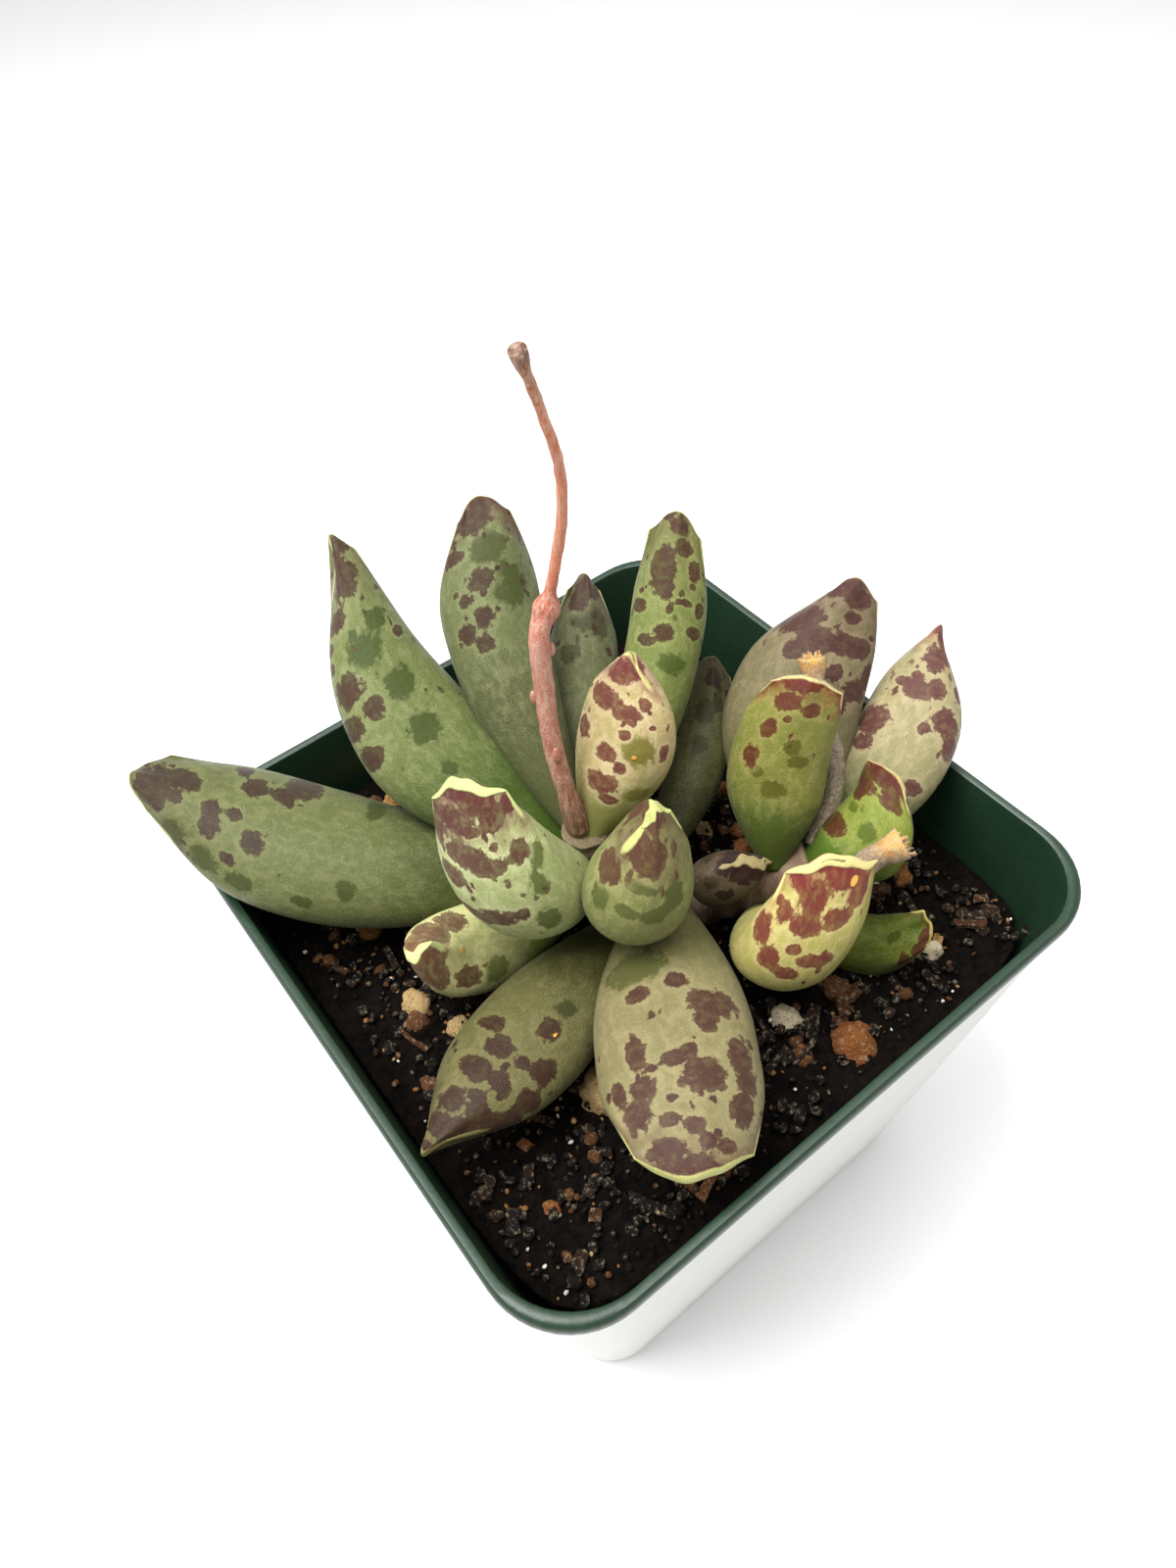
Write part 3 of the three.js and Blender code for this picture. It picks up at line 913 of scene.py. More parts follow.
class Path:
    """A smooth curve through given points, with steady frames along it."""

    CUTS = 24
    SPANS = (((0, 1), (1, 2), (2, 3)), ((0, 2), (1, 3)), ((1, 2),))

    def __init__(self, points: Sequence[Point], steps: int) -> None:
        """Sample the curve.

        Args:
            points: The points that it passes, in millimetres.
            steps: How many equal steps it is cut into.
        """
        given = [Vector(p) for p in points]
        given = [2 * given[0] - given[1], *given, 2 * given[-1] - given[-2]]
        dense: list[Vector] = []
        for i in range(1, len(given) - 2):
            dense += [self._between(given[i - 1 : i + 3], k / self.CUTS) for k in range(self.CUTS)]
        dense.append(given[-2])
        run = [0.0]
        for a, b in zip(dense, dense[1:]):
            run.append(run[-1] + (b - a).length)
        self.centres: list[Vector] = []
        j = 0
        for i in range(steps + 1):
            want = run[-1] * i / steps
            while j + 2 < len(run) and run[j + 1] < want:
                j += 1
            share = (want - run[j]) / (run[j + 1] - run[j])
            self.centres.append(dense[j].lerp(dense[j + 1], share))
        ahead = [*self.centres[1:], self.centres[-1]]
        behind = [self.centres[0], *self.centres[:-1]]
        self.aims = [(b - a).normalized() for a, b in zip(behind, ahead)]
        side = self.aims[0].orthogonal().normalized()
        self.sides: list[Vector] = []
        for aim in self.aims:
            side = (side - aim * side.dot(aim)).normalized()
            self.sides.append(side)

    def way(self, i: int, turn: float) -> Vector:
        """Give the way out from the curve.

        Args:
            i: The step, or -1 for the last.
            turn: The turn round the curve, as an angle.

        Returns:
            A way of length 1, square to the curve.
        """
        return self.sides[i] * math.cos(turn) + self.aims[i].cross(self.sides[i]) * math.sin(turn)

    def _between(self, four: Sequence[Vector], share: float) -> Vector:
        """Find a point between the middle two of four points.

        Args:
            four: Four points in order.
            share: How far it lies from the second to the third.

        Returns:
            The point.
        """
        knots = [0.0]
        for a, b in zip(four, four[1:]):
            knots.append(knots[-1] + max((b - a).length, 1e-6) ** 0.5)
        t = knots[1] + (knots[2] - knots[1]) * share
        row = list(four)
        for spans in self.SPANS:
            row = [
                a.lerp(b, (t - knots[low]) / (knots[high] - knots[low]))
                for a, b, (low, high) in zip(row, row[1:], spans)
            ]
        return row[0]


def wrap_grid(
    bm: bmesh.types.BMesh,
    around: int,
    along: int,
    place: Callable[[bmesh.types.BMVert, float, float], Vector],
) -> None:
    """Wrap a flat grid into a tube and close its ends.

    Args:
        bm: The mesh that it is added to.
        around: Faces round the tube.
        along: Faces along it.
        place: Gives a vertex its point from its share of the turn and of the length.
    """
    before = set(bm.verts)
    bmesh.ops.create_grid(bm, x_segments=around, y_segments=along, size=0.5)
    verts = [v for v in bm.verts if v not in before]
    for vert in verts:
        vert.co = place(vert, vert.co.x + 0.5, vert.co.y + 0.5)
    bmesh.ops.remove_doubles(bm, verts=verts, dist=1e-4)
    verts = [v for v in bm.verts if v not in before]
    rim = [e for e in bm.edges if e.is_boundary and e.verts[0] not in before]
    bmesh.ops.holes_fill(bm, edges=rim, sides=0)
    faces = {f for v in verts for f in v.link_faces}
    bmesh.ops.recalc_face_normals(bm, faces=list(faces))


def sweep(
    bm: bmesh.types.BMesh, path: Path, radius_at: Callable[[float], float], sides: int, rough: float
) -> None:
    """Draw a round section along a path.

    Args:
        bm: The mesh that it is added to.
        path: The path.
        radius_at: Gives the radius at a share of the length.
        sides: Faces round it.
        rough: How far its surface wanders, in millimetres.
    """
    steps = len(path.centres) - 1

    def place(_: bmesh.types.BMVert, turn: float, share: float) -> Vector:
        """Give the point at a turn and a share."""
        i = min(round(share * steps), steps)
        way = path.way(i, 2 * math.pi * turn)
        point = path.centres[i] + way * radius_at(share)
        return point + way * rough * noise.noise(point * 0.9)

    wrap_grid(bm, sides, steps, place)


# The pot and its mix


class Plastic(IntEnum):
    """The pot's two plastics, in the order of its materials."""

    GREEN = 0
    WHITE = 1


@dataclass
class Pot:
    """Square nursery pot, one moulding: white outside below a dark green lip and inside."""

    height: float = 57.0
    lip_width: float = 62.5
    lip_depth: float = 1.6
    lip_step: float = 0.25
    base_width: float = 49.5
    corner: float = 6.0
    corner_segments: int = 12
    wall: float = 0.75
    floor: float = 1.4
    drain_radius: float = 2.5
    drain_offset: float = 13.0
    drain_segments: int = 32
    crease: float = 38.0

    @property
    def slope(self) -> float:
        """Give how much wider the outer wall grows for each millimetre up."""
        return (self.lip_width - 2 * self.lip_step - self.base_width) / self.height

    def wall_width(self, height: float) -> float:
        """Give the outer wall's width at a height."""
        return self.base_width + self.slope * height

    def _profile(self) -> list[tuple[float, float, Plastic]]:
        """List width, height and plastic of each level, from the foot round to the floor inside."""
        top, under = self.height, self.height - self.lip_depth
        inside = self.wall_width(top) - 2 * self.wall
        outer = [(self.base_width - less, h) for less, h in ((0.9, 0.0), (0.25, 0.15), (0.0, 0.6))]
        outer += [(self.wall_width(h), h) for h in (14.0, 28.0, 42.0, under)]
        green = [(self.wall_width(under) + 0.1, under + 0.02)]
        green += [(self.lip_width - 0.25, under + 0.12), (self.lip_width, under + 0.4)]
        green += [(self.lip_width - less, top - low) for less, low in ((0.0, 0.55), (0.2, 0.2), (0.65, 0.0))]
        green += [(inside + 0.5, top), (inside + 0.1, top - 0.12)]
        green += [(inside - self.slope * (top - h), h) for h in (top - 0.4, 50.0, 40.0, 20.0, self.floor)]
        return [(*level, Plastic.WHITE) for level in outer] + [(*level, Plastic.GREEN) for level in green]

    def build(self) -> bpy.types.Object:
        """Mould the pot, pierce its drain holes and dress it.

        Returns:
            The piece.
        """
        green = PlasticFinish("dark_green_pot_plastic", "10291a", "38523a", 0.38, 0.16)
        white = PlasticFinish("white_pot_plastic", "d6d8d4", "bdbdb4", 0.42, 0.18)
        bm = bmesh.new()
        bmesh.ops.create_grid(bm, x_segments=1, y_segments=1, size=self.base_width / 2)
        bmesh.ops.bevel(
            bm,
            geom=list(bm.verts),
            offset=self.corner,
            segments=self.corner_segments,
            profile=0.5,
            affect="VERTICES",
            material=-1,
        )
        face = bm.faces[:][0]
        if face.normal.z > 0:
            bmesh.ops.reverse_faces(bm, faces=[face])
        (width, height, _), *levels = self._profile()
        self._size(face, width, height)
        foot = bmesh.ops.duplicate(bm, geom=[face])
        lid = next(g for g in foot["geom"] if isinstance(g, bmesh.types.BMFace))
        bmesh.ops.reverse_faces(bm, faces=[lid])
        for width, height, plastic in levels:
            made = bmesh.ops.extrude_face_region(bm, geom=[lid])
            fresh = next(g for g in made["geom"] if isinstance(g, bmesh.types.BMFace))
            bmesh.ops.delete(bm, geom=[lid], context="FACES_ONLY")
            lid = fresh
            self._size(lid, width, height)
            for edge in lid.edges:
                for wall in edge.link_faces:
                    wall.material_index = plastic
        bmesh.ops.remove_doubles(bm, verts=bm.verts, dist=1e-5)
        bmesh.ops.recalc_face_normals(bm, faces=bm.faces)
        piece = finish_piece(bm, "pot_shell", [green.material(), white.material()], ["pot"])
        self._drain(piece)
        return piece

    @staticmethod
    def _size(face: bmesh.types.BMFace, width: float, height: float) -> None:
        """Set a level's width and height.

        Args:
            face: The level's face.
            width: Its width across the flats.
            height: Its height.
        """
        across = 2 * max(abs(v.co.x) for v in face.verts)
        for vert in face.verts:
            vert.co.x *= width / across
            vert.co.y *= width / across
            vert.co.z = height

    def _drain(self, piece: bpy.types.Object) -> None:
        """Pierce the drain holes.

        Args:
            piece: The pot.
        """
        bm = bmesh.new()
        for x in (-self.drain_offset, self.drain_offset):
            for y in (-self.drain_offset, self.drain_offset):
                bmesh.ops.create_cone(
                    bm,
                    cap_ends=True,
                    segments=self.drain_segments,
                    radius1=self.drain_radius * MM,
                    radius2=self.drain_radius * MM,
                    depth=4 * self.floor * MM,
                    matrix=Matrix.Translation((x * MM, y * MM, 0)),
                )
        mesh = bpy.data.meshes.new("drain_plugs")
        bm.to_mesh(mesh)
        bm.free()
        plugs = bpy.data.objects.new("drain_plugs", mesh)
        bpy.context.scene.collection.objects.link(plugs)
        cut = piece.modifiers.new("drain_holes", "BOOLEAN")
        cut.object = plugs
        cut.operation = "DIFFERENCE"
        cut.solver = "EXACT"
        made = bpy.data.meshes.new_from_object(piece.evaluated_get(bpy.context.evaluated_depsgraph_get()))
        piece.modifiers.clear()
        piece.data = made
        bpy.data.objects.remove(plugs)
        made.set_sharp_from_angle(angle=math.radians(self.crease))


@dataclass
class Soil:
    """Dark potting mix with grit, bark and pale specks on top."""

    pot: Pot
    gap: float = 0.3
    level: float = 48.3
    relief: float = 0.42
    floor: float = 1.7
    bed_cuts: int = 150
    grains: int = 64
    smallest: float = 0.9
    largest: float = 2.3
    crumbs: int = 2600
    chips: int = 210
    chip_seed: int = 77

    def width_at(self, height: float) -> float:
        """Give the width of the mix at a height."""
        return self.pot.wall_width(height) - 2 * (self.pot.wall + self.gap)

    def height_at(self, x: float, y: float) -> float:
        """Give the mix's height at a place."""
        swell = math.sin(0.21 * x + 1.1) * math.cos(0.17 * y - 0.4) + 0.5 * math.sin(0.43 * x - 0.38 * y)
        return self.level + self.relief * swell

    def build(self) -> list[bpy.types.Object]:
        """Lay the bed, the grit, the crumbs and the bark.

        Returns:
            The pieces.
        """
        return [self._bed(), self._grit(), self._crumbs(), self._bark()]

    def _bed(self) -> bpy.types.Object:
        """Make the bed of mix, rough on top and square below.

        Returns:
            The piece.
        """
        bm = bmesh.new()
        half = self.width_at(self.level) / 2
        bmesh.ops.create_grid(bm, x_segments=self.bed_cuts, y_segments=self.bed_cuts, size=half)
        for vert in bm.verts:
            x, y = vert.co.x / half, vert.co.y / half
            pull = 1 - 0.085 * (x * y) ** 6
            vert.co.x *= pull
            vert.co.y *= pull
            edge = ease(0.0, 1.2, half - max(abs(vert.co.x), abs(vert.co.y)))
            rise = 0.6 * noise.noise(vert.co * 0.8) + 0.55 * noise.noise(vert.co * 1.9) - 0.2
            vert.co.z = self.height_at(vert.co.x, vert.co.y) + rise * edge - 0.3 * (1 - edge)
        rim = [e for e in bm.edges if e.is_boundary]
        made = bmesh.ops.extrude_edge_only(bm, edges=rim)["geom"]
        low = [g for g in made if isinstance(g, bmesh.types.BMVert)]
        shrink = self.width_at(self.floor) / self.width_at(self.level)
        for vert in low:
            vert.co = (vert.co.x * shrink, vert.co.y * shrink, self.floor)
        bmesh.ops.holes_fill(bm, edges=[g for g in made if isinstance(g, bmesh.types.BMEdge)], sides=0)
        bmesh.ops.recalc_face_normals(bm, faces=bm.faces)
        return finish_piece(bm, "soil_bed", [SoilFinish().material()], ["soil"])

    @staticmethod
    def _scatter(
        bm: bmesh.types.BMesh, at: Vector, size: float, squash: Point, turn: Matrix, lot: float, rounds: int
    ) -> None:
        """Add one rough grain.

        Args:
            bm: The mesh that it is added to.
            at: Its place.
            size: Its radius.
            squash: Its shares of that radius each way.
            turn: The way that it lies.
            lot: The number that its colour is drawn with.
            rounds: How often its faces are split.
        """
        layer = bm.verts.layers.float.get("lot") or bm.verts.layers.float.new("lot")
        lie = Matrix.Translation(at) @ turn @ Matrix.Diagonal((*squash, 1.0))
        made = bmesh.ops.create_icosphere(bm, subdivisions=rounds, radius=size, matrix=lie)
        for vert in made["verts"]:
            way = (vert.co - at).normalized()
            vert.co += way * size * 0.3 * noise.noise(vert.co * (1.1 / size) + way)
            vert[layer] = lot

    def _grit(self) -> bpy.types.Object:
        """Scatter the larger pumice and stone grains.

        Returns:
            The piece.
        """
        brown = ((0.0, "8a5a2c"), (0.24, "a97b40"), (0.42, "b89a68"))
        stone = ((0.55, "5c3a20"), (0.72, "7d4a22"), (0.9, "cdbf9f"))
        finish = GritFinish("pumice_and_stone_grit", brown + stone)
        bm = bmesh.new()
        dice = Dice(7)
        tints = Dice(41)
        reach = self.width_at(self.level) / 2 - self.largest - 0.6
        for _ in range(self.grains):
            size = self.smallest + (self.largest - self.smallest) * dice.roll() ** 2.2
            x = (2 * dice.roll() - 1) * reach
            y = (2 * dice.roll() - 1) * reach
            wide, high = 0.6 + 0.35 * dice.roll(), 0.55 + 0.25 * dice.roll()
            tilt = turned(dice.roll() * 0.8, "X")
            turn = turned(dice.roll() * 6, "Z") @ tilt
            at = Vector((x, y, self.height_at(x, y) - 0.12 * size))
            self._scatter(bm, at, size, (1.0, wide, high), turn, tints.roll(), 3)
        return finish_piece(bm, "soil_grit", [finish.material()])

    def _crumbs(self) -> bpy.types.Object:
        """Scatter fine crumbs and pale specks over the bed.

        Returns:
            The piece.
        """
        dark = ((0.0, "0a0705"), (0.4, "150e0a"), (0.62, "2b1c11"), (0.74, "54351b"))
        pale = ((0.84, "86592c"), (0.92, "a98a5c"), (0.965, "e4ddcd"))
        finish = GritFinish("fine_crumbs", dark + pale)
        bm = bmesh.new()
        dice = Dice(23)
        reach = self.width_at(self.level) / 2 - 1.3
        for _ in range(self.crumbs):
            lot = dice.roll()
            size = dice.between(0.16, 0.34) if lot > 0.84 else 0.2 + 0.55 * dice.roll() ** 2.4
            x, y = dice.between(-reach, reach), dice.between(-reach, reach)
            turn = turned(dice.roll() * 6, "Z") @ turned(dice.roll() * 1.2, "X")
            squash = (1.0, dice.between(0.6, 1.0), dice.between(0.5, 0.9))
            at = Vector((x, y, self.height_at(x, y) + dice.between(-0.05, 0.4)))
            self._scatter(bm, at, size, squash, turn, lot, 2 if size > 0.5 else 1)
        return finish_piece(bm, "soil_crumbs", [finish.material()])

    def _bark(self) -> bpy.types.Object:
        """Scatter thin chips of bark.

        Returns:
            The piece.
        """
        shades = ((0.0, "150d09"), (0.45, "25160e"), (0.75, "432814"), (0.92, "6e4523"), (0.98, "96703f"))
        finish = GritFinish("bark_chips", shades, 0.8)
        bm = bmesh.new()
        layer = bm.verts.layers.float.new("lot")
        dice = Dice(self.chip_seed)
        # The noise vectors below start from the clock unless they are given a seed
        noise.seed_set(self.chip_seed)
        reach = self.width_at(self.level) / 2 - 2.6
        for _ in range(self.chips):
            x, y = dice.between(-reach, reach), dice.between(-reach, reach)
            at = Vector((x, y, self.height_at(x, y) + dice.between(0.0, 0.5)))
            turn = turned(dice.roll() * 6.3, "Z") @ turned(dice.between(-0.5, 0.5), "Y")
            length, width, depth = dice.between(0.9, 3.4), dice.between(0.4, 1.1), dice.between(0.18, 0.42)
            lie = Matrix.Translation(at) @ turn @ Matrix.Diagonal((length, width, depth, 1.0))
            made = bmesh.ops.create_cube(bm, size=1.0, matrix=lie)
            edges = {e for v in made["verts"] for e in v.link_edges}
            lot = dice.roll()
            first = len(bm.verts) - len(made["verts"])
            bmesh.ops.subdivide_edges(bm, edges=list(edges), cuts=1, use_grid_fill=True)
            bm.verts.ensure_lookup_table()
            for vert in bm.verts[first:]:
                vert.co += 0.22 * noise.noise_vector(vert.co * 1.7)
                vert[layer] = lot
        return finish_piece(bm, "soil_bark", [finish.material()], smooth=False)


# Stems and stalks


@dataclass
class Stems:
    """Three short woody branches, ringed where old leaves fell."""

    branches: tuple[tuple[tuple[Point, ...], tuple[float, ...]], ...] = (
        (((-0.6, 0.6, 42), (-1.6, 1.9, 50), (-1.8, 2.3, 55), (-1.9, 2.4, 59)), (3.2, 2.6, 2.2)),
        (((0.4, -0.8, 42), (0.9, -2.2, 49), (0.9, -2.7, 53), (0.8, -2.8, 57)), (3.2, 2.5, 2.0)),
        (((0.6, -0.8, 44), (6.4, -7.6, 51.3), (10.3, -10.6, 54.3), (12.8, -12.2, 56)), (3.0, 2.3, 2.0)),
    )
    ring: float = 0.09
    ring_turns: float = 58.0

    def build(self) -> bpy.types.Object:
        """Draw the branches and dress them.

        Returns:
            The piece.
        """
        finish = StalkFinish(
            "woody_stem_skin",
            ((0.0, "3d2820"), (0.55, "5d4438"), (0.8, "74584a"), (1.0, "7c6a4c")),
            low=44.0,
            high=59.0,
            streak="8c7c66",
            streaked=0.5,
            scale=1.2,
            rough=0.75,
        )
        bm = bmesh.new()
        for points, radii in self.branches:

            def radius_at(share: float, radii: tuple[float, ...] = radii) -> float:
                """Give the branch's radius at a share of its length."""
                place = share * (len(radii) - 1)
                i = min(int(place), len(radii) - 2)
                u = ease(0.0, 1.0, place - i)
                ring = self.ring * math.sin(share * self.ring_turns) - self.ring
                return radii[i] * (1 - u) + radii[i + 1] * u + ring

            sweep(bm, Path(points, 64), radius_at, 40, 0.14)
        return finish_piece(bm, "stem_branches", [finish.material()], ["stems"])


@dataclass
class FlowerStalk:
    """Flower stalk of the past season: stout to its joint, thin and dry above, with small scales."""

    points: tuple[Point, ...] = (
        (-2.4, 2.6, 59.6),
        (-2.9, 3.1, 64),
        (-2.8, 4.8, 70),
        (-2.1, 6.1, 75),
        (-1.4, 6.9, 80),
        (-0.1, 7.3, 82),
        (1.5, 6.7, 89.5),
        (1.4, 6.2, 94),
        (-0.5, 4.9, 100),
        (-2.6, 3.6, 105.5),
    )
    joint: float = 0.48
    lower: float = 0.85
    upper: float = 0.45
    foot: float = 0.35
    collar: float = 0.32
    flare: float = 0.25
    scales: Sequence[Point] = ((0.09, 0.4, 0.9), (0.2, 3.6, 0.8), (0.31, 1.9, 0.65), (0.4, 5.2, 0.7))
    steps: int = 180

    def _radius(self, share: float) -> float:
        """Give the stalk's radius at a share of its length."""
        low = self.lower + self.foot * ease(0.12, 0.0, share)
        high = self.upper * (1 - 0.2 * ease(0.6, 0.92, share))
        turn = ease(self.joint - 0.01, self.joint + 0.04, share)
        collar = self.collar * math.exp(-(((share - self.joint) / 0.018) ** 2))
        return low * (1 - turn) + high * turn + collar + self.flare * ease(0.95, 0.99, share)

    def build(self) -> bpy.types.Object:
        """Draw the stalk, seat its scales and dress it.

        Returns:
            The piece.
        """
        pink = ((0.0, "7c4a3c"), (0.2, "b0705f"), (0.44, "c4806e"), (0.5, "a9573e"))
        rust = ((0.56, "cf7a58"), (0.86, "c9754f"), (0.96, "965a38"), (1.0, "5c3a26"))
        finish = StalkFinish(
            "flower_stalk_skin",
            pink + rust,
            low=self.points[0][2],
            high=self.points[-1][2],
            streak="d9b8a2",
            streaked=0.5,
            scale=2.6,
            rough=0.55,
        )
        bm = bmesh.new()
        path = Path(self.points, self.steps)
        sweep(bm, path, self._radius, 28, 0.07)
        for share, turn, size in self.scales:
            i = round(share * self.steps)
            at = path.centres[i] + path.way(i, turn) * (self._radius(share) + 0.12)
            squash = Matrix.Diagonal((0.45 * size, 0.3 * size, 0.95 * size, 1.0))
            lie = pointed(at, path.aims[i]) @ squash
            bmesh.ops.create_icosphere(bm, subdivisions=3, radius=1.0, matrix=lie)
        return finish_piece(bm, "flower_stalk_skin", [finish.material()], ["flower_stalk"])


@dataclass
class CutStalk:
    """An older flower stalk that was cut short and has dried, with a torn mouth."""

    name: str
    points: tuple[Point, ...]
    radius: float
    seed: int
    fibres: int = 26

    def build(self) -> bpy.types.Object:
        """Draw the stalk, tear its end and dress it.

        Returns:
            The piece.
        """
        finish = StalkFinish(
            f"{self.name}_skin",
            ((0.0, "6f5f4e"), (0.6, "8a7a66"), (0.86, "93785a"), (0.95, "b98542"), (1.0, "d0a253")),
            low=self.points[0][2],
            high=self.points[-1][2] + 0.6,
            streak="b3a78f",
            streaked=0.6,
            scale=3.0,
            rough=0.8,
        )
        bm = bmesh.new()
        path = Path(self.points, 60)
        dice = Dice(self.seed)
        sweep(bm, path, lambda share: self.radius * (1 + 0.3 * ease(0.8, 1.0, share)), 24, 0.16)
        end, aim = path.centres[-1], path.aims[-1]
        for _ in range(self.fibres):
            way = path.way(-1, dice.roll() * 2 * math.pi)
            foot = end - aim * 0.35 + way * self.radius * dice.between(0.3, 1.15)
            lean = (aim + way * dice.between(-0.1, 0.45)).normalized()
            length = dice.between(0.45, 1.0)
            lie = pointed(foot + lean * length / 2, lean)
            bmesh.ops.create_cone(
                bm, cap_ends=True, segments=6, radius1=0.17, radius2=0.05, depth=length, matrix=lie
            )
        return finish_piece(bm, f"{self.name}_skin", [finish.material()], [self.name])


# Leaves


@dataclass(frozen=True)
class Markings:
    """Blotches of one leaf, each as share of the length, share of the turn, reach along and reach across."""

    browns: tuple[Blotch, ...] = ()
    olives: tuple[Blotch, ...] = ()
    dots: tuple[Blotch, ...] = ()

    def seen_turn(self) -> float:
        """Give the turn that most blotches face, as an angle."""
        turns = [2 * math.pi * b[1] for b in (*self.browns, *self.olives)] or [math.pi / 2]
        return math.atan2(sum(map(math.sin, turns)), sum(map(math.cos, turns)))


@dataclass
class Leaf:
    """A fleshy leaf, round at its belly and drawn out to a thin waved crest at its tip."""

    name: str
    root: Point
    heading: float
    rise: float
    length: float
    width: float
    depth: float
    # The leaf's finish; its tones hold painted light and shade, darker where the leaf lies in shade and
    # paler where it is lit.
    look_with_painted_light: LeafFinish
    roll: float = 0.0
    sag: float = 0.0
    swing: float = 0.0
    tip: float = 0.5
    belly: float = 0.5
    neck: float = 0.26
    taper: float = 2.1
    wave: float = 0.5
    marks: Markings = Markings()
    around: int = 84
    rows: int = 96

    EDGE = 0.42
    TIP_EDGE = 0.22
    LIP_FROM = 0.95

    @property
    def phase(self) -> float:
        """Give the shift that makes this leaf's waves its own."""
        return self.heading / 20

    def half_width(self, share: float) -> float:
        """Give half the leaf's width at a share of its length."""
        grow = math.sin(min(share / self.belly, 1) * math.pi / 2) ** 1.15
        fade = max((share - self.belly) / (1 - self.belly), 0) ** self.taper
        return self.width / 2 * (self.neck + (1 - self.neck) * grow) * (1 - (1 - self.tip) * fade)

    def half_depth(self, share: float) -> float:
        """Give half the leaf's depth at a share of its length."""
        thickest = self.belly * 0.85
        full = self.depth / 2
        if share < thickest:
            return full * (self.neck + (1 - self.neck) * math.sin(share / thickest * math.pi / 2) ** 1.1)
        fade = ((share - thickest) / (1 - thickest)) ** 2.2
        return self.EDGE + (full - self.EDGE) * max(1 - fade, 0) ** 0.75

    def _axes(self) -> tuple[Vector, Vector, Vector]:
        """Give the ways along, across and out of the leaf."""
        heading, rise = math.radians(self.heading), math.radians(self.rise)
        flat = math.cos(rise)
        along = Vector((flat * math.cos(heading), flat * math.sin(heading), math.sin(rise)))
        across = Vector((-math.sin(heading), math.cos(heading), 0))
        across.rotate(Matrix.Rotation(math.radians(self.roll), 3, along))
        return along, across, along.cross(across)

    def _section(self, share: float, turn: float, lip: float = 0.0) -> Vector:
        """Give a point of the leaf before it is bent, as across, along and out.

        Args:
            share: The share of the length.
            turn: The turn round the leaf, as an angle.
            lip: How far round the crest's thin edge the point lies, as an angle.

        Returns:
            The point in millimetres.
        """
        side, face = math.cos(turn), math.sin(turn)
        crest = ease(0.6, 1.0, share)
        thin = self.EDGE - (self.EDGE - self.TIP_EDGE) * ease(0.8, 1.0, share)
        half_width = self.half_width(share) - thin * (1 - math.cos(lip))
        half_depth = (self.half_depth(share) - self.EDGE + thin) * math.cos(lip)
        ripple = 0.6 * math.sin(3.6 * side + self.phase)
        ripple += 0.7 * side**4 * math.sin(15 * share + 1.7 * self.phase + side)
        ripple += 0.22 * crest * math.sin(9.5 * side + 2 * self.phase)
        x = half_width * side + math.copysign(0.36 * ease(0.6, 0.85, share) * side**10, side)
        y = half_depth * face + self.wave * crest * ripple
        z = self.length * (share - 0.06 * crest * side * side) + thin * math.sin(lip)
        return Vector((x, z, y))

    @staticmethod
    def _depth_inside(spots: Sequence[tuple[Vector, float, float]], local: Vector) -> float:
        """Find how deep a place lies inside the nearest of some blotches.

        Args:
            spots: Each blotch's middle, reach along and reach across.
            local: The place.

        Returns:
            Up to 1 inside a blotch, 0 on its outline and below 0 outside.
        """
        best = -1.0
        for middle, long, wide in spots:
            x, z, y = local - middle
            best = max(best, 1 - math.sqrt((z / long) ** 2 + (x * x + y * y) / (wide * wide)))
        return best

    def build(self) -> bpy.types.Object:
        """Shape the leaf, note its markings and dress it.

        Returns:
            The piece.
        """
        along, across, out = self._axes()
        root = Vector(self.root)
        seen = self.marks.seen_turn()
        kinds = [
            [(self._section(share, 2 * math.pi * turn), long, wide) for share, turn, long, wide in blotches]
            for blotches in (self.marks.browns, self.marks.olives, self.marks.dots)
        ]
        bm = bmesh.new()
        place_layer = bm.verts.layers.float_vector.new("leaf_place")
        frame_layer = bm.verts.layers.float_vector.new("leaf_frame")
        marks_layer = bm.verts.layers.float_vector.new("leaf_marks")
        edge_layer = bm.verts.layers.float.new("leaf_edge")

        def place(vert: bmesh.types.BMVert, turn: float, row: float) -> Vector:
            """Give the point at a turn and a row, and note its markings."""
            body = min(row / self.LIP_FROM, 1.0)
            lip = max((row - self.LIP_FROM) / (1 - self.LIP_FROM), 0.0) * math.pi / 2
            share = (1 - (1 - body) ** 1.45) * (1 - self.TIP_EDGE / self.length)
            angle = 2 * math.pi * turn
            local = self._section(share, angle, lip)
            side = math.cos(angle)
            bend = 4 * share * (1 - share)
            lump = 0.1 * noise.noise(local * 0.35 + Vector((self.phase, 0, 0))) * (1 - ease(0.6, 1.0, share))
            from_tip = (1 - share) * self.length - self.TIP_EDGE * math.sin(lip)
            from_side = (1 - abs(side)) * self.half_width(share) * 2.6 + 2.4 * (1 - ease(0.66, 0.95, share))
            vert[place_layer] = local
            vert[frame_layer] = Vector((side, share, ease(0.35, 0.8, 0.5 - 0.5 * math.cos(angle - seen))))
            vert[edge_layer] = 0.16 - min(from_tip, from_side)
            vert[marks_layer] = Vector(self._depth_inside(spots, local) for spots in kinds)
            x, z, y = local
            y += lump * math.sin(angle)
            return root + along * z + out * (y - self.sag * bend) + across * (x + self.swing * bend)

        wrap_grid(bm, self.around, self.rows, place)
        look_with_painted_light = replace(self.look_with_painted_light, name=f"{self.name}_skin")
        return finish_piece(bm, f"{self.name}_blade", [look_with_painted_light.material()], [self.name])


